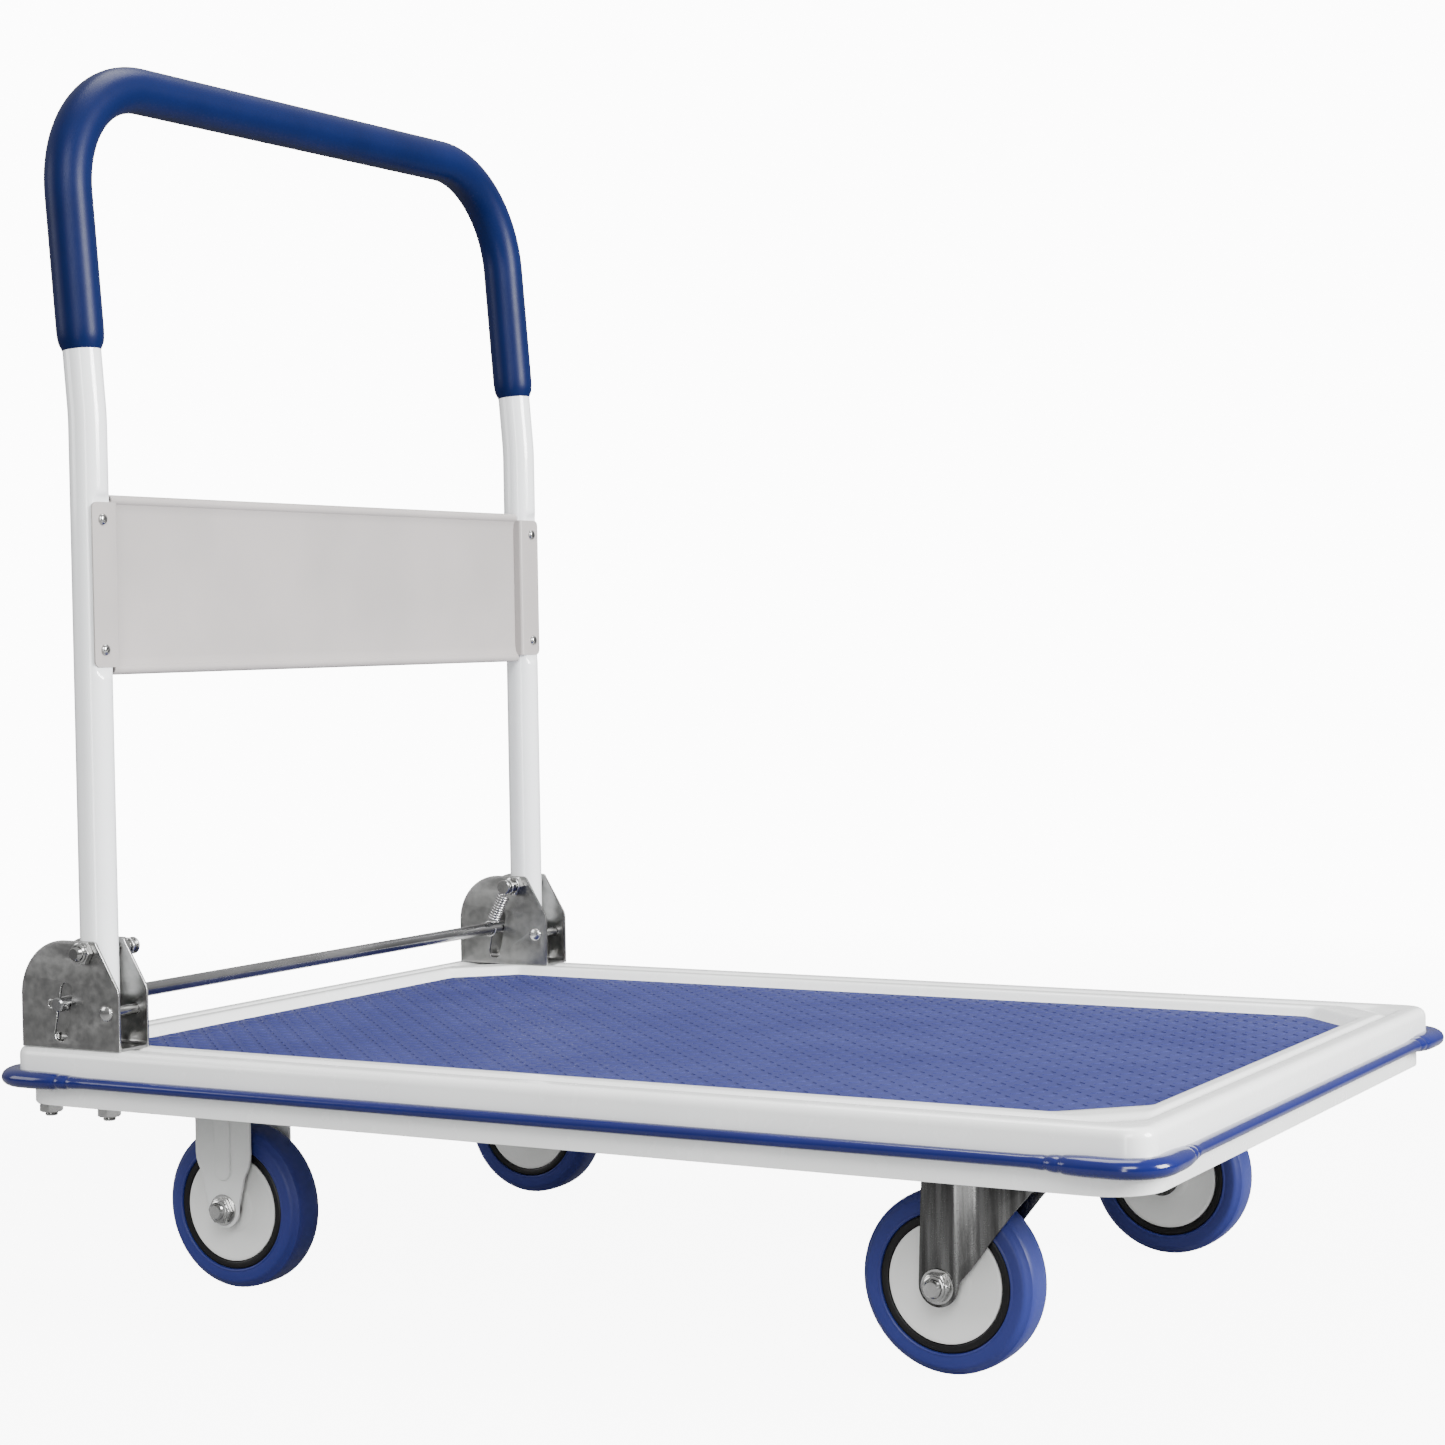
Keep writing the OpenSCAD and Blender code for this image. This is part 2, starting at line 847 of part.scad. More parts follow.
// Fixed fork, s is -1 or +1
module rigid_fork(s) {
    rib_w = 16;
    rib_low = wheel_r + 30;
    color("silver")
        translate([rear_x, s * caster_y, 0]) {
            translate([0, 0, plate_z])
                mount_plate();
            for (m = [0, 1])
                mirror([0, m, 0]) {
                    translate([0, 0, wheel_r])
                        side_view(rigid_in, fork_t)
                            rigid_leg_view();
                    side_view(rigid_in + fork_t, 1.5)
                        translate([0, rib_low]) {
                            circle(rib_w / 2);
                            translate([-rib_w / 2, 0])
                                square([rib_w, plate_z - rib_low]);
                        }
                }
        }
}

// Wheel axle bolt with its head inboard, for legs whose outer faces are
// at half from the wheel's centre plane
module axle_bolt(half) {
    cross_pin(axle_d / 2, -half, half + nut_h + thread_end);
    cross_pin(hex_axle, -half - axle_head_h, -half, 6);
}

module axle_nut(half) {
    difference() {
        cross_pin(hex_axle, half, half + nut_h, 6);
        cross_pin(axle_d / 2, half - cut, half + nut_h + cut);
    }
}

module at_rear_axles() {
    both_sides()
        translate([rear_x, caster_y, wheel_r])
            children();
}

module at_front_axle(s) {
    on_side(s)
        translate([front_x - trail, caster_y, wheel_r])
            children();
}

module rear_axles() {
    color("silver") at_rear_axles() axle_bolt(rigid_in + fork_t);
}

module rear_axle_nuts() {
    color("silver") at_rear_axles() axle_nut(rigid_in + fork_t);
}

module axle_sleeve(half) {
    cross_ring(sleeve_d / 2, axle_d / 2 + run_gap, -half, half);
}

module rear_sleeves() {
    color("silver") at_rear_axles() axle_sleeve(rigid_in);
}

module front_axle(s) {
    color("silver") at_front_axle(s) axle_bolt(swivel_in + fork_t);
}

module front_axle_nut(s) {
    color("silver") at_front_axle(s) axle_nut(swivel_in + fork_t);
}

module front_sleeve(s) {
    color("silver") at_front_axle(s) axle_sleeve(swivel_in);
}

// Side view of a swivel fork's leg, from the axle
module swivel_leg_view() {
    top = fork_head_z + head_t - wheel_r;
    reach = trail + swivel_head_r;
    difference() {
        union() {
            circle(eye_r);
            polygon([[-eye_r, 0], [3 - eye_r, top], [reach, top],
                [reach, top - head_t - 3], [0.75 * reach, 0.75 * top],
                [0.48 * reach, 0.42 * top], [eye_r, 0]]);
        }
        circle(axle_d / 2);
    }
}

// Plan of a swivel fork's leg: its front part is pressed inward
module swivel_leg_plan() {
    bend = eye_r - 2;
    run = 14;
    reach = trail + swivel_head_r + cut;
    polygon([[-2 * eye_r, swivel_in], [bend, swivel_in],
        [bend + run, web_in], [reach, web_in],
        [reach, web_in + fork_t], [bend + run, web_in + fork_t],
        [bend, swivel_in + fork_t], [-2 * eye_r, swivel_in + fork_t]]);
}

module swivel_leg() {
    intersection() {
        translate([0, 0, wheel_r])
            side_view(0, swivel_in + 2 * fork_t)
                swivel_leg_view();
        translate([0, 0, wheel_r - 2 * eye_r])
            linear_extrude(fork_head_z + 3 * eye_r)
                swivel_leg_plan();
    }
}

module swivel_fork(s) {
    color("lightgray")
        translate([front_x - trail, s * caster_y, 0]) {
            for (m = [0, 1])
                mirror([0, m, 0])
                    swivel_leg();
            difference() {
                union() {
                    translate([0, 0, fork_head_z])
                        linear_extrude(head_t)
                            intersection() {
                                union() {
                                    translate([trail, 0]) circle(swivel_head_r);
                                    translate([3 - eye_r, -swivel_in])
                                        square([trail, 2 * swivel_in]);
                                }
                                translate([-2 * eye_r, -swivel_in])
                                    square([trail + 3 * swivel_head_r, 2 * swivel_in]);
                            }
                    translate([trail, 0, fork_head_z + head_t])
                        linear_extrude(race_t)
                            ring(ball_pitch_r + 3.5, ball_pitch_r - 3.5);
                }
                translate([trail, 0, 0])
                    cylinder(h = deck_top, r = kingpin_d / 2 + run_gap);
            }
        }
}

module at_swivels() {
    both_sides()
        translate([front_x, caster_y, 0])
            children();
}

module swivel_plates() {
    race_low = ball_z + ball_d / 2 + ball_gap;
    skirt_low = fork_head_z + head_t + 2.5;
    color("lightgray")
        at_swivels() {
            difference() {
                union() {
                    translate([0, 0, plate_z])
                        mount_plate();
                    translate([0, 0, race_low])
                        linear_extrude(plate_z - race_low)
                            circle(ball_pitch_r + 4.5);
                    translate([0, 0, skirt_low])
                        linear_extrude(plate_z - skirt_low)
                            ring(ball_pitch_r + 6.5, ball_pitch_r + 4.5);
                }
                cylinder(h = deck_top, d = kingpin_d);
            }
        }
}

module kingpins() {
    head_h = 4;
    head_low = fork_head_z - side_gap - head_h;
    color("silver")
        at_swivels() {
            translate([0, 0, head_low])
                cylinder(h = rail_z - head_low, d = kingpin_d);
            translate([0, 0, head_low])
                cylinder(h = head_h, r = kingpin_d / 2 + 4);
        }
}

module swivel_balls() {
    count = 16;
    color("silver")
        at_swivels()
            for (i = [0:count - 1])
                rotate([0, 0, i * 360 / count])
                    translate([ball_pitch_r, 0, ball_z])
                        sphere(d = ball_d, $fn = 24);
}

module caster_bolts() {
    head_h = 5.3;
    color("silver")
        for (x = [rear_x, front_x])
            caster_places(x) {
                translate([0, 0, plate_z])
                    cylinder(h = plate_t + rail_t + caster_nut_h + thread_over,
                        d = bolt_d);
                translate([0, 0, plate_z - head_h])
                    cylinder(h = head_h, r = hex_share * bolt_d, $fn = 6);
            }
}

module caster_nuts() {
    color("silver")
        for (x = [rear_x, front_x])
            caster_places(x)
                translate([0, 0, rail_z + rail_t])
                    difference() {
                        cylinder(h = caster_nut_h, r = hex_share * bolt_d, $fn = 6);
                        translate([0, 0, -cut])
                            cylinder(h = caster_nut_h + 2 * cut, d = bolt_d);
                    }
}

// ---------- wheels ----------

// Turns a half section (x from the axle, y across the wheel) into a wheel part
module turned() {
    rotate([90, 0, 0])
        rotate_extrude()
            children();
}

module at_wheel(front, s) {
    x = front ? front_x - trail : rear_x;
    translate([x, s * caster_y, wheel_r])
        children();
}

module tyre() {
    shoulder = 3;
    half = wheel_w / 2;
    color("royalblue")
        turned() {
            translate([core_d / 2, -half])
                square([wheel_r - core_d / 2 - shoulder, wheel_w]);
            translate([core_d / 2, shoulder - half])
                square([wheel_r - core_d / 2, wheel_w - 2 * shoulder]);
            for (y = [shoulder - half, half - shoulder])
                translate([wheel_r - shoulder, y])
                    circle(shoulder, $fn = 24);
        }
}

module core() {
    half = wheel_w / 2 - 0.6;
    web = 6;
    boss = bearing_d / 2 + 5;
    color([0.1, 0.1, 0.1])
        turned() {
            translate([cover_d / 2 + side_gap, -half])
                square([core_d / 2 - cover_d / 2 - side_gap, 2 * half]);
            translate([boss - cut, -web])
                square([cover_d / 2 - boss + 2 * cut, 2 * web]);
            translate([bearing_d / 2, 3 - half])
                square([boss - bearing_d / 2, 2 * half - 6]);
        }
}

module covers() {
    thick = 2;
    face = wheel_w / 2 - 1;
    color("lightgray")
        for (m = [0, 1])
            mirror([0, m, 0])
                turned()
                    translate([sleeve_d / 2 + 0.7, face - thick])
                        square([(cover_d - sleeve_d) / 2 - 0.7, thick]);
}

module bearings() {
    wide = 9;
    color("silver")
        for (m = [0, 1])
            mirror([0, m, 0])
                turned()
                    translate([sleeve_d / 2 + run_gap, 2])
                        square([(bearing_d - sleeve_d) / 2 - run_gap, wide]);
}

// ---------- nodes ----------

deck_shell();
lower_frame();
handle_channel();
caster_rail(rear_x);  // rear_caster_rail
caster_rail(front_x);  // front_caster_rail
stiffener_rails();
bumper();
mat();
bracket(-1);  // bracket_right
bracket(1);  // bracket_left
bracket_bolts();
bracket_nuts();
stop_pins();
pivot_studs();
pivot_nuts();
spring(-1);  // spring_right
spring(1);  // spring_left
release_bar();
bar_pins();
handle_tube();
handle_grip();
handle_panel();
panel_screws();
pivot_bushes();
rigid_fork(-1);  // rigid_fork_right
rigid_fork(1);  // rigid_fork_left
rear_axles();
rear_axle_nuts();
rear_sleeves();
swivel_plates();
kingpins();
swivel_balls();
caster_bolts();
caster_nuts();
swivel_fork(-1);  // swivel_fork_right
front_axle(-1);  // front_axle_right
front_axle_nut(-1);  // front_axle_nut_right
front_sleeve(-1);  // front_sleeve_right
swivel_fork(1);  // swivel_fork_left
front_axle(1);  // front_axle_left
front_axle_nut(1);  // front_axle_nut_left
front_sleeve(1);  // front_sleeve_left
at_wheel(false, -1) tyre();  // tyre_rear_right
at_wheel(false, -1) core();  // core_rear_right
at_wheel(false, -1) covers();  // covers_rear_right
at_wheel(false, -1) bearings();  // bearings_rear_right
at_wheel(false, 1) tyre();  // tyre_rear_left
at_wheel(false, 1) core();  // core_rear_left
at_wheel(false, 1) covers();  // covers_rear_left
at_wheel(false, 1) bearings();  // bearings_rear_left
at_wheel(true, -1) tyre();  // tyre_front_right
at_wheel(true, -1) core();  // core_front_right
at_wheel(true, -1) covers();  // covers_front_right
at_wheel(true, -1) bearings();  // bearings_front_right
at_wheel(true, 1) tyre();  // tyre_front_left
at_wheel(true, 1) core();  // core_front_left
at_wheel(true, 1) covers();  // covers_front_left
at_wheel(true, 1) bearings();  // bearings_front_left
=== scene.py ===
# %% [markdown]
# # A folding platform cart
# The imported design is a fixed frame. Each step below takes one piece or one
# finish of the cart, says what it is on the real thing, and builds it where
# the frame says that it goes. Lengths inside the lesson are millimetres.

# %% Load the frame
import json
import math

import bmesh
import bpy
import numpy as np
from mathutils import Matrix, Vector


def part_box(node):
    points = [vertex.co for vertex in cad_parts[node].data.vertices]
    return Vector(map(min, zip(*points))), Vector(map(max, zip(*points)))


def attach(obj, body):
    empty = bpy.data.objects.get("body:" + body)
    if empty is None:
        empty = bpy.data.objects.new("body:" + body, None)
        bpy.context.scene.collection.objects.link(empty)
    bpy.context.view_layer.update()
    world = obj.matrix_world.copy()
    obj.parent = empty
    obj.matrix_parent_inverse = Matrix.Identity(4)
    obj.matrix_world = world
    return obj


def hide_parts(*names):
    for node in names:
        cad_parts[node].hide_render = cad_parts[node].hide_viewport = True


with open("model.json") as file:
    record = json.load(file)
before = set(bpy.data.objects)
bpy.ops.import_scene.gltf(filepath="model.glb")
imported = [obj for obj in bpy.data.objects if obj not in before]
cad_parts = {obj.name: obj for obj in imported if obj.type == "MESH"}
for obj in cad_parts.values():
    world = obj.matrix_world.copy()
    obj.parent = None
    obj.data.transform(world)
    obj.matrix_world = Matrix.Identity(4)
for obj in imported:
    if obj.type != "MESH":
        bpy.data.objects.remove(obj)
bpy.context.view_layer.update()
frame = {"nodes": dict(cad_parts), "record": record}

MM = 0.001
record = frame["record"]

# %% [markdown]
# ## Places
# Every place comes from the box round a node of the frame, so a change in the
# design moves the looks with it.


# %% Read the places
def box_mm(node):
    low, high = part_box(node)
    return low / MM, high / MM


def middle(node):
    low, high = box_mm(node)
    return (low + high) / 2


deck_low, deck_high = box_mm("deck_shell")
mat_low, mat_high = box_mm("mat")
skirt_low, skirt_high = box_mm("lower_frame")
plate_low, plate_high = box_mm("bracket_left")
tube_low, tube_high = box_mm("handle_tube")
grip_low, grip_high = box_mm("handle_grip")
bar_low, bar_high = box_mm("release_bar")
leg_y = middle("bracket_left").y
pivot = middle("pivot_bushes")
bar = middle("release_bar")
bar_r = (bar_high.z - bar_low.z) / 2
tube_r = tube_high.y - leg_y
grip_r = grip_high.y - leg_y
# The bend radius of the two upper corners, along the tube's middle line.
CORNER_R = 90.0
straight_half = leg_y - CORNER_R
bar_top = Vector((grip_low.x + grip_r, 0, grip_high.z - grip_r))
SIDES = {"right": -1, "left": 1}
print("leg at", round(leg_y, 1), "tube radius", round(tube_r, 1), "corner", CORNER_R)

# %% [markdown]
# ## Camera
# The view is from the front right corner, low and fairly far away, with a
# slight roll, so the camera is built from its own three axes.

# %% Place the camera
AZIMUTH, ELEVATION, ROLL = math.radians(29.2), math.radians(1.9), math.radians(-0.9)
DISTANCE, LENS = 2.2591, 72.34
TARGET = Vector((-0.0157, 0.0141, 0.4245))
back = Vector((
    math.sin(AZIMUTH) * math.cos(ELEVATION),
    -math.cos(AZIMUTH) * math.cos(ELEVATION),
    math.sin(ELEVATION),
))
level = (-back).cross(Vector((0, 0, 1))).normalized()
upright = level.cross(-back)
right = level * math.cos(ROLL) + upright * math.sin(ROLL)
up = upright * math.cos(ROLL) - level * math.sin(ROLL)
camera_data = bpy.data.cameras.new("camera")
camera_data.lens, camera_data.sensor_width = LENS, 36
camera = bpy.data.objects.new("camera", camera_data)
bpy.context.collection.objects.link(camera)
turn = Matrix((right, up, back)).transposed().to_4x4()
camera.matrix_world = Matrix.Translation(TARGET + back * DISTANCE) @ turn
bpy.context.scene.camera = camera
print("camera at", [round(v, 3) for v in camera.matrix_world.translation])

# %% [markdown]
# ## Studio
# A cart on show stands before a white backdrop in a dimmer room: big soft
# boxes shape it, and the dark between them is what metal and vinyl reflect.
# The backdrop and the room come with the floor, further down.


# %% Light the room
def soft_light(name, place, size, power, tall=None):
    data = bpy.data.lights.new(name, "AREA")
    data.shape, data.size, data.size_y = "RECTANGLE", size, tall or size
    data.energy = power
    lamp = bpy.data.objects.new(name, data)
    bpy.context.collection.objects.link(lamp)
    lamp.location = place
    lamp.rotation_euler = (TARGET - Vector(place)).to_track_quat("-Z", "Y").to_euler()


soft_light("key", (1.6, -2.9, 2.6), 1.5, 125)
soft_light("front", (3.4, 0.4, 1.6), 1.5, 430)
soft_light("strip", (1.15, -3.5, 0.75), 0.5, 42, 2.2)
soft_light("fill", (-3.0, -2.2, 1.5), 1.6, 42)
soft_light("top", (-0.4, 0.8, 3.4), 1.8, 95)

# %% [markdown]
# ## Shader maths
# A finish is easier to read as an expression than as a web of nodes. `Wire`
# wraps an output socket so that `1 - mask * 0.3` adds its Math nodes, and
# `Nodes.node` makes every other kind of node.


# %% Write shader maths as expressions
class Wire:
    def __init__(self, nodes, socket):
        self.nodes, self.socket = nodes, socket

    def _math(self, operation, first, second):
        return self.nodes.node("ShaderNodeMath", {"operation": operation}, {0: first, 1: second})

    def __add__(self, other):
        return self._math("ADD", self, other)

    def __sub__(self, other):
        return self._math("SUBTRACT", self, other)

    def __rsub__(self, other):
        return self._math("SUBTRACT", other, self)

    def __mul__(self, other):
        return self._math("MULTIPLY", self, other)

    __radd__, __rmul__ = __add__, __mul__


print("wires add, subtract and multiply")


# %% Fill a node tree by calls
class Nodes:
    """A node tree that is filled by calls instead of by hand."""

    def __init__(self, tree, coordinate="Object"):
        self.tree = tree
        self.place = self.node("ShaderNodeTexCoord", out=coordinate)

    def node(self, kind, settings=None, sockets=None, out=0):
        made = self.tree.nodes.new(kind)
        for key, value in (settings or {}).items():
            setattr(made, key, value)
        for key, value in (sockets or {}).items():
            if isinstance(value, Wire):
                self.tree.links.new(value.socket, made.inputs[key])
            else:
                made.inputs[key].default_value = value
        return Wire(self, made.outputs[out])

    def noise(self, scale, detail=3.0, stretch=(1, 1, 1)):
        where = self.place
        if stretch != (1, 1, 1):
            where = self.node("ShaderNodeVectorMath", {"operation": "MULTIPLY"},
                              {0: self.place, 1: stretch})
        return self.node("ShaderNodeTexNoise", {},
                         {"Vector": where, "Scale": scale, "Detail": detail})

    def spread(self, mask, low, high):
        """Stretches a mask that mostly lies between low and high to 0..1."""
        return self.node("ShaderNodeMapRange", {},
                         {"Value": mask, "From Min": low, "From Max": high})

    def mix(self, mask, first, second):
        return self.node("ShaderNodeMix", {"data_type": "RGBA"},
                         {0: mask, 6: (*first, 1), 7: (*second, 1)}, out=2)


print("node trees are filled by calls")


# %% Give a finish its shader
class Finish(Nodes):
    """A material with one Principled shader and its constant sockets set."""

    def __init__(self, name, **constants):
        self.material = bpy.data.materials.new(name)
        self.material.use_nodes = True
        super().__init__(self.material.node_tree)
        self.shader = self.tree.nodes["Principled BSDF"]
        for socket, value in constants.items():
            self.shader.inputs[socket.replace("_", " ")].default_value = value

    def into(self, socket, wire):
        self.tree.links.new(wire.socket, self.shader.inputs[socket])
        return self

    def bump(self, height, depth_mm, strength=1.0):
        made = self.node("ShaderNodeBump", {},
                         {"Strength": strength, "Distance": depth_mm * MM, "Height": height},
                         out="Normal")
        return self.into("Normal", made)


print("finishes have one Principled shader each")

# %% [markdown]
# ## Finishes
# Paint, vinyl and rubber differ in three ways: how the colour drifts over the
# surface, how rough it is and whether that varies, and the fine relief. Each
# kind of finish is a function, so that two paints share their peel and grain
# and differ in colour and gloss.


# %% Three kinds of finish
def paint(name, colour, drift, roughness, coat=0.0):
    """Powder coat: faint orange peel, and roughness that drifts a little."""
    f = Finish(name, IOR=1.5, Coat_Weight=coat, Coat_Roughness=0.08)
    broad = f.spread(f.noise(9.0), 0.35, 0.65)
    f.into("Base Color", f.mix(broad, colour, drift))
    f.into("Roughness", roughness + f.spread(f.noise(70.0), 0.3, 0.7) * 0.07)
    return f.bump(f.noise(950.0, 2.0), 0.05, 0.35).material


def plated(name, dark, light, roughness, stretch=(1, 1, 1), scale=38.0):
    """Zinc plate: patches of darker and lighter crystal, finely scratched."""
    f = Finish(name, Metallic=1.0)
    patches = f.spread(f.noise(scale, 6.0, stretch), 0.32, 0.68)
    f.into("Base Color", f.mix(patches, dark, light))
    scratch = f.noise(420.0, 2.0, (0.25, 1, 4))
    f.into("Roughness", roughness + patches * 0.12 + scratch * 0.06)
    return f.bump(scratch, 0.02, 0.3).material


def moulded(name, colour, drift, roughness, grain=600.0, relief=0.05, coat=0.0, shine=0.5):
    """Soft or hard plastic: a fine grain and faint drift in its colour."""
    f = Finish(name, IOR=1.47, Coat_Weight=coat, Coat_Roughness=0.05,
               Specular_IOR_Level=shine)
    broad = f.spread(f.noise(14.0, 4.0), 0.3, 0.7)
    f.into("Base Color", f.mix(broad, colour, drift))
    f.into("Roughness", roughness + f.noise(110.0) * 0.08)
    return f.bump(f.noise(grain, 2.0), relief, 0.4).material


print("kinds of finish: paint, plated and moulded")

# %% One finish for each material slot
finishes = {
    "deck_white": paint("deck_paint", (0.84, 0.85, 0.84), (0.80, 0.81, 0.80), 0.22, 0.5),
    "handle_white": paint("handle_paint", (0.84, 0.855, 0.86), (0.80, 0.815, 0.825), 0.14, 0.6),
    "panel_grey": paint("panel_paint", (0.37, 0.345, 0.335), (0.335, 0.315, 0.305), 0.34),
    "fork_grey": paint("fork_paint", (0.64, 0.65, 0.64), (0.54, 0.55, 0.54), 0.34, 0.2),
    "bracket_zinc": plated("bracket_plate", (0.215, 0.215, 0.213), (0.265, 0.265, 0.26), 0.26,
                           scale=170.0),
    "swivel_zinc": plated("swivel_plate", (0.035, 0.035, 0.034), (0.17, 0.17, 0.168), 0.16,
                          stretch=(5, 5, 0.3)),
    "bright_zinc": plated("bright_plate", (0.34, 0.34, 0.335), (0.56, 0.56, 0.55), 0.10),
    "spring_steel": plated("spring_wire", (0.40, 0.40, 0.40), (0.62, 0.62, 0.62), 0.14),
    "bar_steel": plated("bar_steel", (0.22, 0.22, 0.225), (0.36, 0.36, 0.365), 0.14,
                        stretch=(1, 0.2, 1)),
    "bearing_steel": plated("bearing_steel", (0.45, 0.45, 0.45), (0.6, 0.6, 0.6), 0.2),
    "bumper_blue": moulded("bumper_vinyl", (0.003, 0.006, 0.075), (0.004, 0.008, 0.095), 0.12,
                           grain=300.0, relief=0.03, coat=0.15, shine=0.4),
    "mat_blue": moulded("mat_vinyl", (0.021, 0.025, 0.105), (0.028, 0.033, 0.125), 0.55,
                        grain=700.0, relief=0.10, shine=0.12),
    "grip_blue": moulded("grip_vinyl", (0.002, 0.006, 0.040), (0.003, 0.008, 0.052), 0.34,
                         shine=0.12),
    "tyre_blue": moulded("tyre_rubber", (0.015, 0.022, 0.130), (0.020, 0.028, 0.152), 0.42,
                         grain=500.0, relief=0.08, shine=0.3),
    "core_black": moulded("core_plastic", (0.003, 0.003, 0.0035), (0.006, 0.006, 0.0065), 0.34,
                          shine=0.25),
    "cover_grey": moulded("cover_plastic", (0.66, 0.665, 0.65), (0.61, 0.615, 0.60), 0.36),
}
slot_of = {s["node"]: s["material_slot"] for s in record["subparts"]}
for name, node in frame["nodes"].items():
    if not node.material_slots:
        node.data.materials.append(None)
    for place in node.material_slots:
        place.material = finishes[slot_of[name]]
print("finishes:", len(finishes))

# %% [markdown]
# ## Shapes
# A shape here is a pair: an array of points in millimetres and a list of
# faces. Shapes are merged, cleaned and turned into one piece at the end, which
# keeps a piece such as a nut with its bolt in one closed, tidy mesh.


# %% Join and move shapes
def merge(*shapes):
    points, faces, start = [], [], 0
    for some, these in shapes:
        points.append(np.asarray(some, float).reshape(-1, 3))
        faces += [tuple(start + i for i in face) for face in these]
        start += len(points[-1])
    return np.vstack(points), faces


def moved(shape, by=(0, 0, 0), flip_y=False):
    points = np.array(shape[0], float)
    if flip_y:
        points[:, 1] *= -1
    return points + np.array(by, float), shape[1]


print("shapes join and move")


# %% Skin loops of points
def loft(loops, ring=False, caps=False):
    """Skins closed loops of equal length, one after another."""
    count, size = len(loops), len(loops[0])
    faces = []
    for i in range(count if ring else count - 1):
        a, b = i * size, ((i + 1) % count) * size
        faces += [(a + j, a + (j + 1) % size, b + (j + 1) % size, b + j) for j in range(size)]
    if caps:
        faces += [tuple(range(size))[::-1], tuple(range((count - 1) * size, count * size))]
    return np.array(loops, float).reshape(-1, 3), faces


def lathe(profile, centre=(0, 0, 0), steps=72, ring=True):
    """Turns (radius, y) points about the Y axis. A ring profile closes on itself."""
    loops = [[(centre[0] + r * math.cos(a), centre[1] + y, centre[2] + r * math.sin(a))
              for a in np.linspace(0, 2 * math.pi, steps, endpoint=False)]
             for r, y in profile]
    return loft(loops, ring=ring)


print("loops are skinned, straight or about an axis")


# %% Sweep a round bar along a path
def sweep(path, radii, sides=28, press=None, bore=None):
    """Round bar along a path. press moves each point of its skin, and bore is
    the (depth, radius) of a hole in each end."""
    path = [Vector(p) for p in path]
    ahead = [(path[min(i + 1, len(path) - 1)] - path[max(i - 1, 0)]).normalized()
             for i in range(len(path))]
    side = ahead[0].orthogonal().normalized()
    angles = np.linspace(0, 2 * math.pi, sides, endpoint=False)

    def ring(point, first, second, r):
        return [point + r * (first * math.cos(a) + second * math.sin(a)) for a in angles]

    frames, loops = [], []
    for i, point in enumerate(path):
        side = (side - ahead[i] * side.dot(ahead[i])).normalized()
        frames.append((side, ahead[i].cross(side)))
        skin = ring(point, *frames[-1], radii[i])
        loops.append([press(p) for p in skin] if press else skin)
    if bore:
        depth, r = bore
        first, last = frames[0], frames[-1]
        loops = ([ring(path[0] + ahead[0] * depth, *first, r), ring(path[0], *first, r)]
                 + loops
                 + [ring(path[-1], *last, r), ring(path[-1] - ahead[-1] * depth, *last, r)])
    return loft(loops, caps=True)


print("bars follow paths")


# %% Turn shapes to another axis
def stood(shape, at=(0, 0, 0)):
    """A shape made about the Y axis, stood up about the Z axis."""
    return shape[0][:, [0, 2, 1]] + np.array(at, float), shape[1]


def laid(shape, at=(0, 0, 0)):
    """A shape made about the Y axis, laid along the X axis."""
    return shape[0][:, [1, 0, 2]] + np.array(at, float), shape[1]


def strip(path, t):
    """Outline of a strip of thickness t whose middle line is a flat path."""
    path = [Vector(p) for p in path]
    first, second = [], []
    for i, point in enumerate(path):
        way = (path[min(i + 1, len(path) - 1)] - path[max(i - 1, 0)]).normalized()
        across = Vector((-way.y, way.x)) * t / 2
        first.append(tuple(point + across))
        second.append(tuple(point - across))
    return first + second[::-1]


print("shapes stand, lie and become strips")

# %% [markdown]
# Sheet metal is cut to an outline and its edges are broken. A filled 2D curve
# does that in one step: holes are inner outlines, and its bevel rounds every
# edge, holes included.


# %% Cut bevelled plates from outlines
def plate(outlines, thickness, place, edge=0.4, cuts=()):
    """Plate from flat outlines. place(u, v, w) gives the point in the cart, and
    cuts are the u values where it gets extra edges, so that place can bend it."""
    curve = bpy.data.curves.new("cut", "CURVE")
    curve.dimensions, curve.fill_mode = "2D", "BOTH"
    curve.extrude = thickness / 2 - edge
    curve.bevel_depth, curve.bevel_resolution, curve.offset = edge, 2, -edge
    for outline in outlines:
        spline = curve.splines.new("POLY")
        spline.points.add(len(outline) - 1)
        for point, (u, v) in zip(spline.points, outline):
            point.co = (u, v, 0, 1)
        spline.use_cyclic_u = True
    holder = bpy.data.objects.new("cut", curve)
    bpy.context.collection.objects.link(holder)
    graph = bpy.context.evaluated_depsgraph_get()
    mesh = bpy.data.meshes.new_from_object(holder.evaluated_get(graph))
    if len(cuts):
        cut = bmesh.new()
        cut.from_mesh(mesh)
        for u in cuts:
            bmesh.ops.bisect_plane(cut, geom=cut.verts[:] + cut.edges[:] + cut.faces[:],
                                   plane_co=(u, 0, 0), plane_no=(1, 0, 0))
        cut.to_mesh(mesh)
        cut.free()
    points = [place(v.co.x, v.co.y, v.co.z) for v in mesh.vertices]
    faces = [tuple(p.vertices) for p in mesh.polygons]
    bpy.data.objects.remove(holder)
    bpy.data.curves.remove(curve)
    bpy.data.meshes.remove(mesh)
    return np.array([tuple(p) for p in points]), faces


def arc(cx, cy, r, start, end, steps=14):
    return [(cx + r * math.cos(math.radians(a)), cy + r * math.sin(math.radians(a)))
            for a in np.linspace(start, end, steps)]


print("plates are cut from outlines")

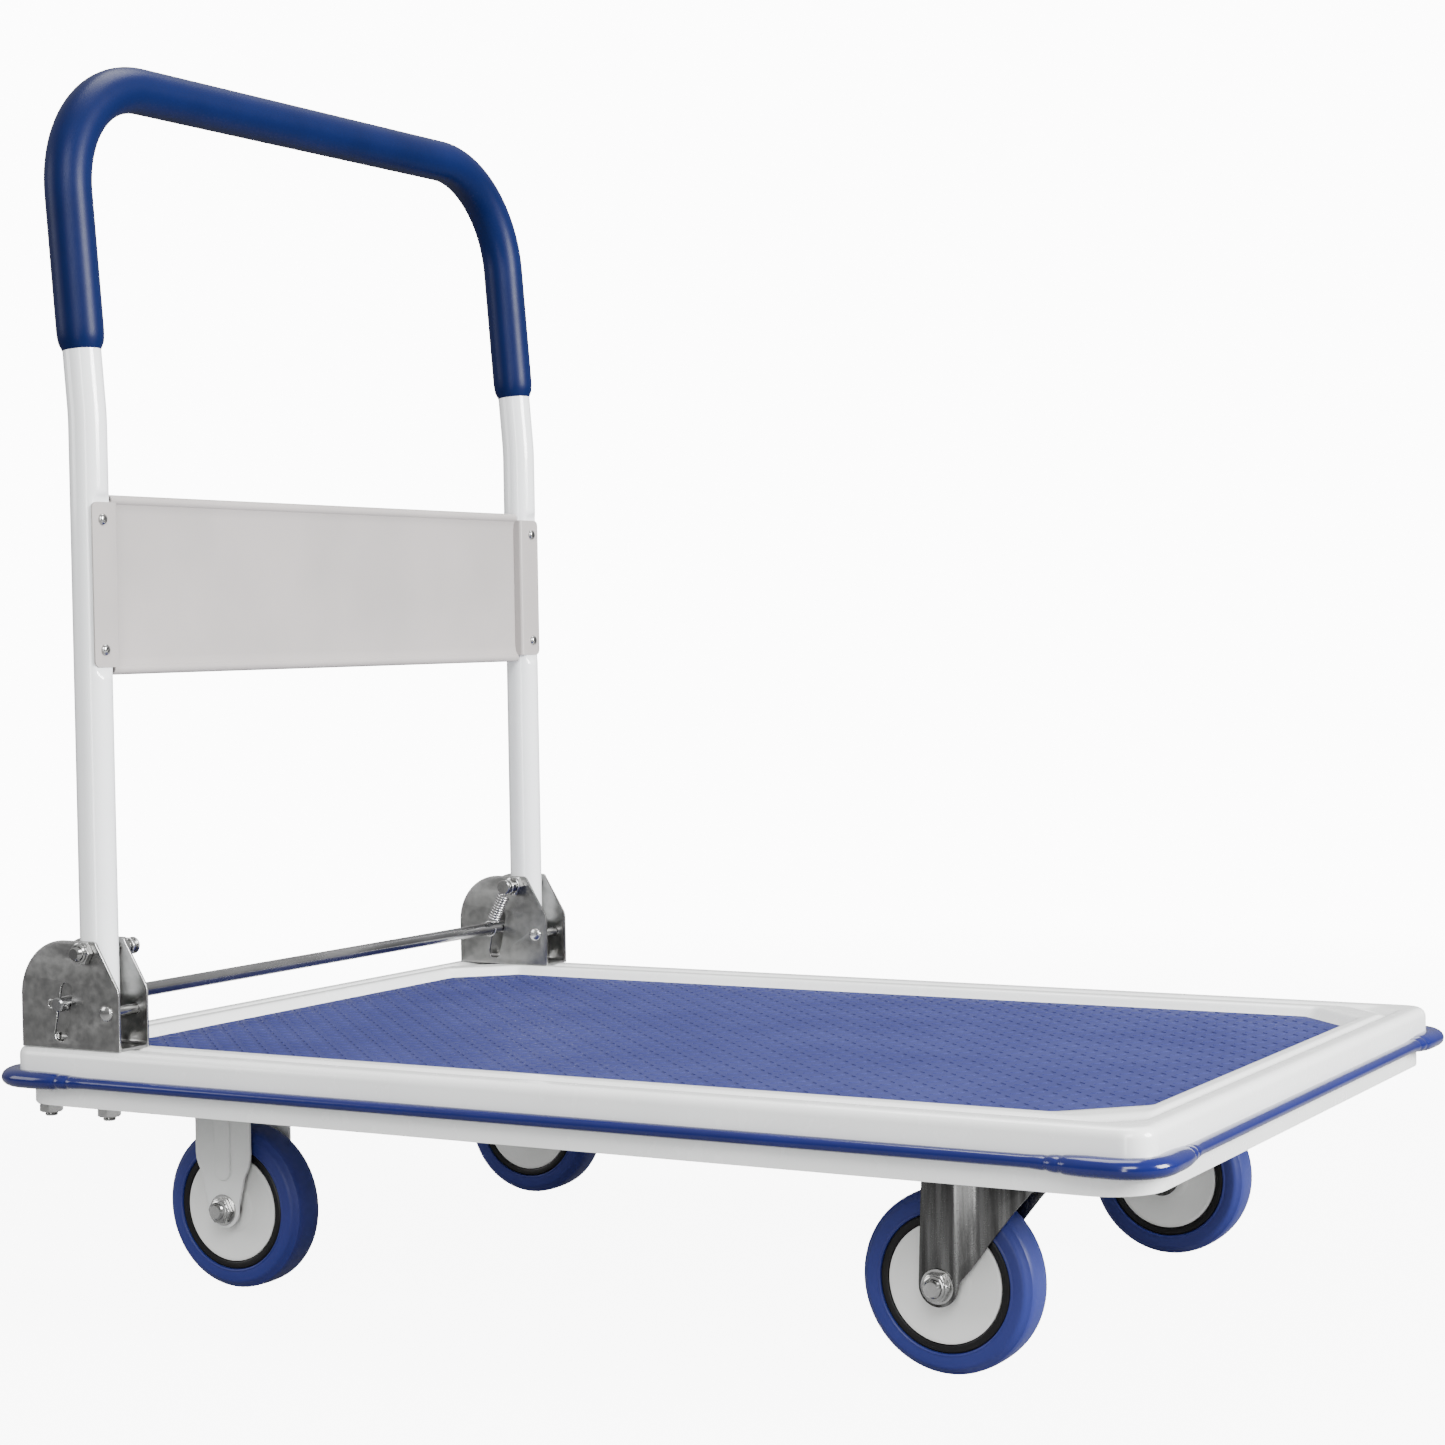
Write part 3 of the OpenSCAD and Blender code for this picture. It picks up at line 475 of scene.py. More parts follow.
# %% [markdown]
# A piece is a shape with everything that it needs in the cart: a clean mesh,
# smooth faces that stay sharp at its real edges, its finish, the body that it
# moves with and the nodes of the frame that it stands in for.


# %% Make a piece from a shape
def piece(name, shape, body, slot, replaces=(), sharp=32, thickness=0.0, trim=None):
    """Makes a clean mesh from a shape, gives it its finish and lets it ride.
    trim is a second finish and a test of a face's middle and normal for it."""
    mesh = bpy.data.meshes.new(name)
    mesh.from_pydata([tuple(p) for p in np.asarray(shape[0]) * MM], [], shape[1])
    obj = bpy.data.objects.new(name, mesh)
    bpy.context.collection.objects.link(obj)
    made = bmesh.new()
    made.from_mesh(mesh)
    bmesh.ops.remove_doubles(made, verts=made.verts, dist=1e-6)
    bmesh.ops.dissolve_degenerate(made, edges=made.edges, dist=1e-7)
    if not thickness:
        bmesh.ops.recalc_face_normals(made, faces=made.faces)
    made.to_mesh(mesh)
    made.free()
    if thickness:
        solid = obj.modifiers.new("sheet", "SOLIDIFY")
        solid.thickness, solid.offset = thickness * MM, -1
        graph = bpy.context.evaluated_depsgraph_get()
        obj.data = bpy.data.meshes.new_from_object(obj.evaluated_get(graph))
        obj.modifiers.clear()
    made = bmesh.new()
    made.from_mesh(obj.data)
    for edge in made.edges:
        edge.smooth = edge.calc_face_angle(0.0) < math.radians(sharp)
    for face in made.faces:
        face.smooth = True
    made.to_mesh(obj.data)
    made.free()
    obj.data.materials.clear()
    obj.data.materials.append(finishes[slot])
    if trim:
        obj.data.materials.append(finishes[trim[0]])
        for face in obj.data.polygons:
            face.material_index = int(trim[1](face.center / MM, face.normal))
    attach(obj, body)
    if replaces:
        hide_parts(*replaces)
    print(f"{name}: {len(obj.data.vertices)} points on {body}")
    return obj


print("pieces ready to be made")

# %% [markdown]
# ## The deck
# The deck is one sheet pressed in a die: a skirt, a softly rounded rim, a
# shallow groove, a slope, and the sunk pan with cut corners that holds the
# mat. Outside it is a rounded rectangle and inside it is an octagon, so the
# outline has two 45-degree arcs at each corner: drawn together they make a
# round corner, and drawn apart they make a cut one.

# %% Name the deck's sizes
HALF_TURN = math.tan(math.radians(22.5))
ROUND_CUT = 1 - HALF_TURN
SHEET = 2.0
DECK_CORNER, EDGE_ROUND = 20.0, 7.0
GROOVE, GROOVE_FROM, GROOVE_WIDE = 2.6, 0.30, 0.42
SLOPE, SLOPE_R = 10.0, 12.0
MAT_GAP, PAN_CUT, PAN_R = 2.0, 43.0, 7.0
deck_half = Vector((deck_high.x, deck_high.y))
mat_half = Vector((mat_high.x, mat_high.y))
pan_half = mat_half + Vector((MAT_GAP, MAT_GAP))
print("deck", [round(2 * v) for v in deck_half], "pan", [round(2 * v) for v in pan_half])


# %% Draw outlines of the deck
def outline(hx, hy, cut, r, z, steps=7):
    """Rectangle of half sizes hx and hy at height z. Its corners are cut off by
    cut, and the two turns at each corner are rounded by r."""
    t = r * HALF_TURN
    quarter = (arc(hx - r, hy - cut - t, r, 0, 45, steps)
               + arc(hx - cut - t, hy - r, r, 45, 90, steps))
    turned = [(-x, y) for x, y in reversed(quarter)]
    opposite = [(-x, -y) for x, y in quarter]
    last = [(x, -y) for x, y in reversed(quarter)]
    return [(x, y, z) for x, y in quarter + turned + opposite + last]


def between(a, b, t):
    return a + (b - a) * t


def smooth_step(t):
    t = min(1.0, max(0.0, t))
    return t * t * (3 - 2 * t)


print("outline helpers ready")

# %% Press the deck
deck_loops = [outline(deck_half.x, deck_half.y, ROUND_CUT * DECK_CORNER, DECK_CORNER, z)
              for z in (deck_low.z, deck_low.z + 6, deck_high.z - EDGE_ROUND)]
for a in range(15, 91, 15):
    inset = EDGE_ROUND * (1 - math.cos(math.radians(a)))
    r = DECK_CORNER - inset
    z = deck_high.z - EDGE_ROUND + EDGE_ROUND * math.sin(math.radians(a))
    deck_loops.append(outline(deck_half.x - inset, deck_half.y - inset, ROUND_CUT * r, r, z))
rim_r = DECK_CORNER - EDGE_ROUND
slope_cut = PAN_CUT + ROUND_CUT * SLOPE
for u in [0.10, 0.22, 0.30, 0.36, 0.42, 0.48, 0.54, 0.60, 0.66, 0.72, 0.78, 0.84, 0.92]:
    dip = math.sin(math.pi * min(1, max(0, (u - GROOVE_FROM) / GROOVE_WIDE))) ** 2
    deck_loops.append(outline(
        between(deck_half.x - EDGE_ROUND, pan_half.x + SLOPE, u),
        between(deck_half.y - EDGE_ROUND, pan_half.y + SLOPE, u),
        between(ROUND_CUT * rim_r, slope_cut, u), between(rim_r, SLOPE_R, u),
        deck_high.z - GROOVE * dip))
for v in np.linspace(0.02, 1, 9):
    deck_loops.append(outline(
        pan_half.x + SLOPE * (1 - v), pan_half.y + SLOPE * (1 - v),
        between(slope_cut, PAN_CUT, v), between(SLOPE_R, PAN_R, v),
        between(deck_high.z, mat_low.z, smooth_step(v))))
deck_points, deck_faces = loft(deck_loops)
last = (len(deck_loops) - 1) * len(deck_loops[0])
deck_faces.append(tuple(range(last, last + len(deck_loops[0]))))
piece("deck_top", (deck_points, deck_faces), "deck", "deck_white", ["deck_shell"],
      sharp=50, thickness=SHEET)

# %% [markdown]
# Below the bumper shows the lower frame, a plain strip bent round the cart
# with a soft lower edge. Its cross-section is a closed loop carried round the
# outline, and four small holes go through it near the corners.

# %% Bend the lower frame
FRAME_CORNER = 38.0
SOFT = 0.9
section = [(0, skirt_high.z), (0, skirt_low.z + SOFT), (0.25, skirt_low.z + 0.25),
           (SOFT, skirt_low.z), (SHEET - 0.3, skirt_low.z), (SHEET, skirt_low.z + 0.3),
           (SHEET, skirt_high.z)]
frame_loops = []
for inset, z in section:
    r = FRAME_CORNER - inset
    frame_loops.append(outline(skirt_high.x - inset, skirt_high.y - inset,
                               ROUND_CUT * r, r, z, 12))
lower = piece("lower_skirt", loft(frame_loops, ring=True), "deck", "deck_white",
              ["lower_frame"], sharp=40)

# %% Drill the lower frame
HOLE_R, HOLE_RISE, DRILL_HALF = 2.5, 14.0, 400
drill_profile = [(0, -DRILL_HALF), (HOLE_R, -DRILL_HALF), (HOLE_R, DRILL_HALF), (0, DRILL_HALF)]
rods = merge(*[lathe(drill_profile, (x, 0, skirt_low.z + HOLE_RISE), 24, ring=False)
               for x in (-deck_high.x + 40, deck_high.x - 28)])
mesh = bpy.data.meshes.new("drill")
mesh.from_pydata([tuple(p) for p in rods[0] * MM], [], rods[1])
drill = bpy.data.objects.new("drill", mesh)
bpy.context.collection.objects.link(drill)
closed = bmesh.new()
closed.from_mesh(mesh)
bmesh.ops.remove_doubles(closed, verts=closed.verts, dist=1e-6)
bmesh.ops.recalc_face_normals(closed, faces=closed.faces)
closed.to_mesh(mesh)
closed.free()
cutter = lower.modifiers.new("holes", "BOOLEAN")
cutter.object, cutter.operation, cutter.solver = drill, "DIFFERENCE", "EXACT"
graph = bpy.context.evaluated_depsgraph_get()
lower.data = bpy.data.meshes.new_from_object(lower.evaluated_get(graph))
lower.modifiers.clear()
bpy.data.objects.remove(drill)
print("lower frame drilled:", len(lower.data.polygons), "faces")

# %% [markdown]
# ## The bumper
# A soft vinyl strip runs round the deck and swells at the corners, where it
# takes the knocks. Its half-round section grows smoothly from the thin to the
# thick size over the last few centimetres before each corner, and two grooves
# across the growing part let it bend.

# %% Walk round the deck's edge
bumper_low, bumper_high = box_mm("bumper")
bumper_mid = (bumper_low.z + bumper_high.z) / 2
BIG = bumper_high.x - deck_high.x
THIN = 9.0
SWELL_FROM, SWELL_TO = 60.0, 16.0
GROOVES, GROOVE_SOFT = (34.0, 44.0), 1.5
BACK_HEIGHT, BACK_OUT = 0.82, 0.16


def edge_walk(hx, hy, r):
    """Points round a rounded rectangle with their outward direction and the
    distance to the nearest corner."""
    steps = [0, 6, 12, 16, 20, 24, 28, 31, 32.5, 34, 35.5, 37, 39, 41, 42.5, 44, 45.5, 47,
             50, 55, 60]
    walk = []
    for k, (sx, sy) in enumerate([(1, 1), (-1, 1), (-1, -1), (1, -1)]):
        cx, cy = sx * (hx - r), sy * (hy - r)
        for a in np.linspace(90 * k, 90 * k + 90, 11):
            n = (math.cos(math.radians(a)), math.sin(math.radians(a)))
            walk.append((cx + r * n[0], cy + r * n[1], n, 0.0))
        run = 2 * ((hx if k % 2 == 0 else hy) - r)
        ax, ay = walk[-1][0], walk[-1][1]
        way = (-n[1], n[0])
        for d in steps[1:] + [run / 2] + [run - s for s in reversed(steps[1:])]:
            walk.append((ax + way[0] * d, ay + way[1] * d, n, min(d, run - d)))
    return walk


print("bumper grows from", THIN, "to", round(BIG, 1))


# %% Wrap the bumper
def bumper_ring(x, y, n, d):
    """Half-round section at a point of the walk, d from the nearest corner."""
    grow = smooth_step((SWELL_FROM - d) / (SWELL_FROM - SWELL_TO))
    dip = sum(math.exp(-((d - at) / GROOVE_SOFT) ** 2) for at in GROOVES)
    size = between(THIN, BIG, grow) - dip
    ring = [(x, y, bumper_mid + size / 2 * s) for s in (BACK_HEIGHT, 0.0, -BACK_HEIGHT)]
    for a in range(-80, 81, 16):
        c, s = math.cos(math.radians(a)), math.sin(math.radians(a))
        reach = size * (BACK_OUT + (1 - BACK_OUT) * c ** 0.75)
        ring.append((x + n[0] * reach, y + n[1] * reach, bumper_mid + size / 2 * s))
    return ring


bumper_loops = [bumper_ring(*step) for step in edge_walk(deck_high.x, deck_high.y, DECK_CORNER)]
piece("edge_bumper", loft(bumper_loops, ring=True), "deck", "bumper_blue", ["bumper"], sharp=60)

# %% [markdown]
# ## The mat
# The vinyl mat has a tread of small raised leaves that lie at alternate
# angles. Bump in a material would vanish in a side view, so each leaf is a
# low solid of its own, just sunk into the sheet.

# %% Lay the mat and its tread
TREAD, PITCH, MARGIN = 0.6, 12.0, 5
LEAF = [(-1, 0), (-0.62, -0.72), (0, -1), (0.62, -0.72), (1, 0), (0.62, 0.72), (0, 1),
        (-0.62, 0.72)]
LEAF_L, LEAF_W = 4.4, 1.25
sheet_top = mat_high.z - TREAD
mat_loops = [outline(mat_half.x, mat_half.y, PAN_CUT, 1.0, mat_low.z, 3),
             outline(mat_half.x, mat_half.y, PAN_CUT, 1.0, sheet_top - 0.5, 3),
             outline(mat_half.x - 0.5, mat_half.y - 0.5, PAN_CUT, 0.8, sheet_top, 3)]


def leaf(x, y, angle):
    """One low solid of the tread, a little smaller at its top."""
    c, s = math.cos(angle), math.sin(angle)
    loops = []
    for size, z in [((1, 1), sheet_top - 0.2), ((1, 1), sheet_top), ((0.84, 0.5), mat_high.z)]:
        ring = [(u * LEAF_L * size[0], v * LEAF_W * size[1]) for u, v in LEAF]
        loops.append([(x + u * c - v * s, y + u * s + v * c, z) for u, v in ring])
    return loft(loops, caps=True)


leaves = []
columns, rows = int(mat_half.x // PITCH), int(mat_half.y // PITCH)
for i in range(-columns, columns + 1):
    for j in range(-rows, rows + 1):
        x, y = i * PITCH, j * PITCH
        inside = abs(x) + abs(y) < mat_half.x + mat_half.y - PAN_CUT - PITCH / 2
        if inside and abs(x) < mat_half.x - MARGIN and abs(y) < mat_half.y - MARGIN:
            leaves.append(leaf(x, y, math.radians(45 if (i + j) % 2 else -45)))
piece("tread_mat", merge(loft(mat_loops, caps=True), *leaves), "deck", "mat_blue", ["mat"])
print("tread leaves:", len(leaves))

# %% [markdown]
# ## Wheels
# Each wheel is a rubber tyre on a black rim, with a light cover on each side.
# They are turned parts, so each is a profile spun about the axle. The tyre's
# tread is slightly crowned and its shoulders are soft.

# %% Draw the wheel's profiles
tyre_low, tyre_high = box_mm("tyre_rear_right")
wheel_r = (tyre_high.z - tyre_low.z) / 2
wheel_half = (tyre_high.y - tyre_low.y) / 2
core_r = (box_mm("core_rear_right")[1].z - box_mm("core_rear_right")[0].z) / 2
cover_r = (box_mm("covers_rear_right")[1].z - box_mm("covers_rear_right")[0].z) / 2
SLEEVE_R, BOSS_R = 8.5, 22.5


def both_faces(half_profile):
    """A profile from the middle outward, mirrored to the other face."""
    return half_profile + [(r, -y) for r, y in reversed(half_profile)]


tyre_profile = both_faces([
    (core_r, 0), (core_r, wheel_half - 1.6), (core_r + 0.4, wheel_half - 0.5),
    (core_r + 1.2, wheel_half), (core_r + 2.4, wheel_half - 0.5),
    (core_r + 8.5, wheel_half - 0.3), (core_r + 10.0, wheel_half - 0.9),
    (core_r + 11.4, wheel_half - 2.2), (wheel_r - 2.6, wheel_half - 4.0),
    (wheel_r - 1.2, wheel_half - 5.0), (wheel_r - 0.5, wheel_half - 6.6),
    (wheel_r - 0.15, wheel_half - 10), (wheel_r, wheel_half - 14), (wheel_r, 0)])
core_profile = both_faces([
    (BOSS_R, 0), (BOSS_R, wheel_half - 4), (BOSS_R + 1, wheel_half - 3.6),
    (BOSS_R + 1.5, 6), (cover_r - 1, 6), (cover_r + 0.3, wheel_half - 2.6),
    (cover_r + 0.6, wheel_half - 1.0), (cover_r + 1.4, wheel_half - 0.6),
    (core_r - 1.4, wheel_half - 0.6), (core_r - 0.4, wheel_half - 1.2), (core_r, wheel_half - 2),
    (core_r, 0)])
cover_y = wheel_half - 1
cover_profile = [
    (SLEEVE_R + 0.8, cover_y - 2.4), (SLEEVE_R + 0.8, cover_y - 0.4), (SLEEVE_R + 1.6, cover_y),
    (17, cover_y), (18.5, cover_y - 0.5), (20, cover_y - 0.9), (cover_r - 6, cover_y - 0.5),
    (cover_r - 3, cover_y - 0.1), (cover_r - 1, cover_y), (cover_r - 0.3, cover_y - 0.3),
    (cover_r, cover_y - 1), (cover_r, cover_y - 2), (cover_r - 2, cover_y - 2.4)]
print("wheel", round(2 * wheel_r, 1), "across and", round(2 * wheel_half, 1), "wide")

# %% Turn the wheels
for where in ("rear_right", "rear_left", "front_right", "front_left"):
    centre = middle(f"tyre_{where}")
    body = f"wheel_{where}"
    piece(f"rubber_tyre_{where}", lathe(tyre_profile, centre, 112), body, "tyre_blue",
          [f"tyre_{where}"], sharp=24)
    piece(f"rim_core_{where}", lathe(core_profile, centre, 96), body, "core_black",
          [f"core_{where}"], sharp=30)
    outer = lathe(cover_profile, centre, 96)
    inner = lathe([(r, -y) for r, y in cover_profile], centre, 96)
    piece(f"side_covers_{where}", merge(outer, inner), body, "cover_grey",
          [f"covers_{where}"], sharp=30)

# %% [markdown]
# ## Nuts and bolts
# A nut is a hexagon whose corners are turned off by a cone, which leaves the
# curved chamfer that catches the light. At each height the outline is the
# smaller of the hexagon and the cone. A bolt's end shows its thread.

# %% Shape a hexagon
HEX_FLAT = math.cos(math.radians(30))


def turned(profile, steps=36):
    """A solid turned part: its profile starts and ends on the axis."""
    return lathe(profile, steps=steps, ring=False)


def hex_body(corner, y0, y1, bore, steps=72):
    flat = corner * HEX_FLAT
    turned_off = 0.95 * flat
    rise = (corner - turned_off) * 0.55
    heights = [(y0 + rise * t, t) for t in (0, 0.35, 0.7, 1)]
    heights += [(y1 - rise * t, t) for t in (1, 0.7, 0.35, 0)]
    angles = np.linspace(0, 2 * math.pi, steps, endpoint=False)

    def ring(y, radii):
        return [(r * math.cos(a), y, r * math.sin(a)) for r, a in zip(radii, angles)]

    hexagon = [flat / math.cos((a % (math.pi / 3)) - math.pi / 6) for a in angles]
    loops = []
    for y, t in heights:
        cone = between(turned_off, corner, t)
        loops.append(ring(y, [min(r, cone) for r in hexagon]))
    loops += [ring(y, [bore] * steps) for y in (y1, y0)]
    return loft(loops, ring=True)


print("hexagons ready")


# %% Cut threads, washers and locking nuts
def threaded_end(r, y0, y1):
    """Bolt end from y0 outward to y1, with ridges and a turned-down tip."""
    way = 1 if y1 > y0 else -1
    pitch = 1.25
    profile = [(0, y0), (r, y0)]
    y = y0
    while abs(y1 - y) > 1.6 * pitch:
        profile += [(0.88 * r, y + way * pitch / 2), (r, y + way * pitch)]
        y += way * pitch
    return turned(profile + [(0.82 * r, y1), (0, y1)])


def washer(outer, bore, y0, y1):
    edge = 0.25
    way = 1 if y1 > y0 else -1
    return lathe([(bore, y0), (outer - edge, y0), (outer, y0 + way * edge),
                  (outer, y1 - way * edge), (outer - edge, y1), (bore, y1)], steps=48)


def locking_nut(corner, bore, y0, y1):
    """Hexagon with the round collar that holds its nylon ring."""
    collar = between(y0, y1, 0.72)
    flat = corner * HEX_FLAT
    ring = lathe([(bore + 0.3, collar), (flat * 0.92, collar), (flat * 0.90, between(y0, y1, 0.9)),
                  (flat * 0.78, y1), (bore + 0.6, y1), (bore + 0.3, between(y0, y1, 0.95))],
                 steps=48)
    return merge(hex_body(corner, y0, collar, bore), ring)


print("fastener helpers ready")

# %% [markdown]
# The axle bolts run from inside outward: a head on the inner leg, a locking
# nut on the outer one and a short thread beyond it. The rear bolts ride with
# the deck, and each front bolt turns with its swivel fork.

# %% Fit the axles
AXLE_R, AXLE_CORNER, AXLE_TIP = 6.0, 10.4, 3.0
NUT_H, HEAD_H, WASHER_T = 8.0, 7.0, 1.4


def axle_set(centre, s, half):
    """Bolt and nut of one wheel as two shapes. s is the cart's side."""
    core = AXLE_R * 0.5
    shaft = turned([(0, -half - 1), (AXLE_R, -half - 1), (AXLE_R, half + 2), (0, half + 2)])
    bolt = merge(shaft, threaded_end(AXLE_R, half + 2, half + NUT_H + AXLE_TIP),
                 hex_body(AXLE_CORNER, -half - HEAD_H, -half, core),
                 turned([(0, -half - HEAD_H + 1), (core, -half - HEAD_H + 1), (core, -half),
                         (0, -half)]))
    nut = merge(washer(AXLE_CORNER + 1.4, AXLE_R, half, half + WASHER_T),
                locking_nut(AXLE_CORNER, AXLE_R, half + WASHER_T, half + NUT_H))
    return [moved(part, centre, flip_y=s < 0) for part in (bolt, nut)]


rear_half = (box_mm("rear_axle_nuts")[1].y - middle("tyre_rear_left").y) - NUT_H
front_half = (box_mm("front_axle_nut_left")[1].y - middle("tyre_front_left").y) - NUT_H
rear_bolts, rear_nuts = [], []
for side, s in SIDES.items():
    bolt, nut = axle_set(middle(f"tyre_rear_{side}"), s, rear_half)
    rear_bolts.append(bolt)
    rear_nuts.append(nut)
    bolt, nut = axle_set(middle(f"tyre_front_{side}"), s, front_half)
    piece(f"front_bolt_{side}", bolt, f"swivel_{side}", "bright_zinc", [f"front_axle_{side}"])
    piece(f"front_locknut_{side}", nut, f"swivel_{side}", "bright_zinc",
          [f"front_axle_nut_{side}"])
piece("rear_bolts", merge(*rear_bolts), "deck", "bright_zinc", ["rear_axles"])
piece("rear_locknuts", merge(*rear_nuts), "deck", "bright_zinc", ["rear_axle_nuts"])

# %% [markdown]
# ## The handle
# One steel tube is bent into a U. It rises, leans back a little, turns two
# wide corners and comes down again. Behind the panel's ears it is pressed
# flat in front. Its open lower ends show the wall.

# %% Find the handle's middle line
BEND_Z, BEND_R = 663.0, 220.0
# The lean follows from where the crossbar is.
rise = Vector((bar_top.x - pivot.x, bar_top.z - BEND_Z))
lean = math.atan2(-rise.x, rise.y)
up_lean = Vector((-math.sin(lean), 0, math.cos(lean)))
bend_at = Vector((pivot.x, 0, BEND_Z))
top_at = Vector((bar_top.x, 0, bar_top.z))
corner_start = top_at - up_lean * CORNER_R
half_bend = BEND_R * math.tan(lean / 2)


def half_handle(from_z):
    """Middle line of one leg and corner, from from_z up to the crossbar."""
    out = []
    if from_z < BEND_Z:
        out += [Vector((pivot.x, leg_y, z)) for z in np.arange(from_z, BEND_Z - half_bend, 1.5)]
        for t in np.linspace(0, lean, 9):
            out.append(Vector((pivot.x - BEND_R * (1 - math.cos(t)), leg_y,
                               BEND_Z - half_bend + BEND_R * math.sin(t))))
        start = half_bend
    else:
        start = (from_z - BEND_Z) / math.cos(lean)
    length = (corner_start - bend_at).length
    for d in np.linspace(start + 1, length, 26):
        out.append(bend_at + up_lean * d + Vector((0, leg_y, 0)))
    for a in np.linspace(0, math.pi / 2, 25)[1:]:
        out.append(corner_start + up_lean * CORNER_R * math.sin(a)
                   + Vector((0, leg_y - CORNER_R * (1 - math.cos(a)), 0)))
    return out


def whole(half):
    """The whole U from the line of its left half."""
    flip = [Vector((p.x, -p.y, p.z)) for p in half]
    cross = [Vector((bar_top.x, y, bar_top.z))
             for y in np.linspace(straight_half, -straight_half, 24)[1:-1]]
    return half + cross + flip[::-1]


print("lean", round(math.degrees(lean), 1), "degrees")

# %% Bend the handle
WALL, BORE_DEPTH = 1.5, 30
FLAT, FLAT_OVER, FLAT_FADE = 3.0, 8.0, 6
EAR_DROP = 6.0
panel_low, panel_high = box_mm("handle_panel")
ear_low, ear_high = panel_low.z + EAR_DROP, panel_high.z - EAR_DROP
flat_x = pivot.x + tube_r - FLAT


def pressed(p):
    """The point p of the tube's skin after the flats are pressed."""
    inside = min(smooth_step((p.z - ear_low + FLAT_OVER) / FLAT_FADE),
                 smooth_step((ear_high + FLAT_OVER - p.z) / FLAT_FADE))
    over = p.x - flat_x
    if over > 0 and inside > 0:
        return Vector((p.x - over * inside, p.y, p.z))
    return p


path = whole(half_handle(tube_low.z))
tube = sweep(path, [tube_r] * len(path), 40, pressed, (BORE_DEPTH, tube_r - WALL))
piece("bent_tube", tube, "handle", "handle_white", ["handle_tube"], sharp=50)

# %% [markdown]
# The grip is a foam-backed vinyl sleeve pulled over the U before it is bent.
# Its two ends are cut square and turned in slightly.

# %% Pull on the grip
path = whole(half_handle(grip_low.z + 1.5))
ends = [tube_r + 0.15, grip_r - 0.9, grip_r - 0.25]
radii = ends + [grip_r] * (len(path) - 6) + ends[::-1]
path[0] = path[0] - up_lean * 0.9
path[-1] = path[-1] - up_lean * 0.9
piece("vinyl_grip", sweep(path, radii, 48), "handle", "grip_blue", ["handle_grip"], sharp=50)

# %% [markdown]
# ## The cross panel
# A sheet with its top and bottom edges rolled over, so that nobody is cut, and
# an ear bent back at each end that is screwed to the leg.

# %% Roll the panel's edges
PANEL_T, BEAD, BEAD_SOFT = 1.2, 8.0, 0.2
EAR_IN = 17.2
bead_x = panel_low.x + BEAD / 2
inner_y = leg_y - EAR_IN + PANEL_T
bead_profile = [(BEAD / 2 - PANEL_T, -inner_y), (BEAD / 2 - BEAD_SOFT, -inner_y),
                (BEAD / 2, -inner_y + BEAD_SOFT), (BEAD / 2, inner_y - BEAD_SOFT),
                (BEAD / 2 - BEAD_SOFT, inner_y), (BEAD / 2 - PANEL_T, inner_y)]
shapes = [lathe(bead_profile, (bead_x, 0, z), 40)
          for z in (panel_low.z + BEAD / 2, panel_high.z - BEAD / 2)]
# How far the sheet stands forward, and how far that is from the panel's edge.
sheet_side = [(-PANEL_T / 2, 2), (PANEL_T / 2 + 2.2, 6.4), (PANEL_T / 2 + 0.7, 9.5),
              (PANEL_T / 2, 14)]
shapes.append(loft([[(bead_x + x, y, panel_low.z + z) for x, z in sheet_side]
                    + [(bead_x + x, y, panel_high.z - z) for x, z in reversed(sheet_side)]
                    for y in (-inner_y, inner_y)], caps=True))
print("panel sheet", round(2 * inner_y), "long")

# %% Bend the panel's ears
ROUND = 5.0
ear_face, ear_tip = panel_high.x, panel_high.y
for s in SIDES.values():
    loops = []
    steps = [ROUND * (1 - math.cos(math.radians(a))) for a in (0, 25, 50, 70, 90)]
    for z in [ear_low + d for d in steps] + [ear_high - d for d in reversed(steps)]:
        near_end = min(z - ear_low, ear_high - z, ROUND)
        tip = ear_tip - ROUND + math.sqrt(max(0, ROUND ** 2 - (ROUND - near_end) ** 2))
        bend = [(ear_face - PANEL_T / 2 - 2 + 2 * math.sin(a), inner_y + 1.4 - 2 * math.cos(a))
                for a in np.linspace(0, math.pi / 2, 7)]
        middle_line = ([(panel_low.x + BEAD / 2, inner_y - PANEL_T / 2)] + bend
                       + [(ear_face - PANEL_T / 2, between(inner_y + 2, tip, t))
                          for t in (0.3, 0.9, 1)])
        loops.append([(x, s * y, z) for x, y in strip(middle_line, PANEL_T)])
    shapes.append(loft(loops, caps=True))
piece("rolled_panel", merge(*shapes), "handle", "panel_grey", ["handle_panel"], sharp=40)

# %% Screw the panel to the legs
SCREW_R, SCREW_H = 4.4, 2.6
screws_low, screws_high = box_mm("panel_screws")
dome = [(0, 1.2), (1.5, 1.2), (1.8, SCREW_H - 0.05), (2.6, SCREW_H - 0.15), (3.6, SCREW_H - 0.7),
        (SCREW_R - 0.2, SCREW_H - 1.5), (SCREW_R, SCREW_H - 2.2), (SCREW_R, 0), (0, -9)]
heads = [laid(turned(dome), (ear_face, s * leg_y, z)) for s in SIDES.values()
         for z in (screws_low.z + SCREW_R, screws_high.z - SCREW_R)]
piece("panel_screw_heads", merge(*heads), "handle", "bright_zinc", ["panel_screws"])
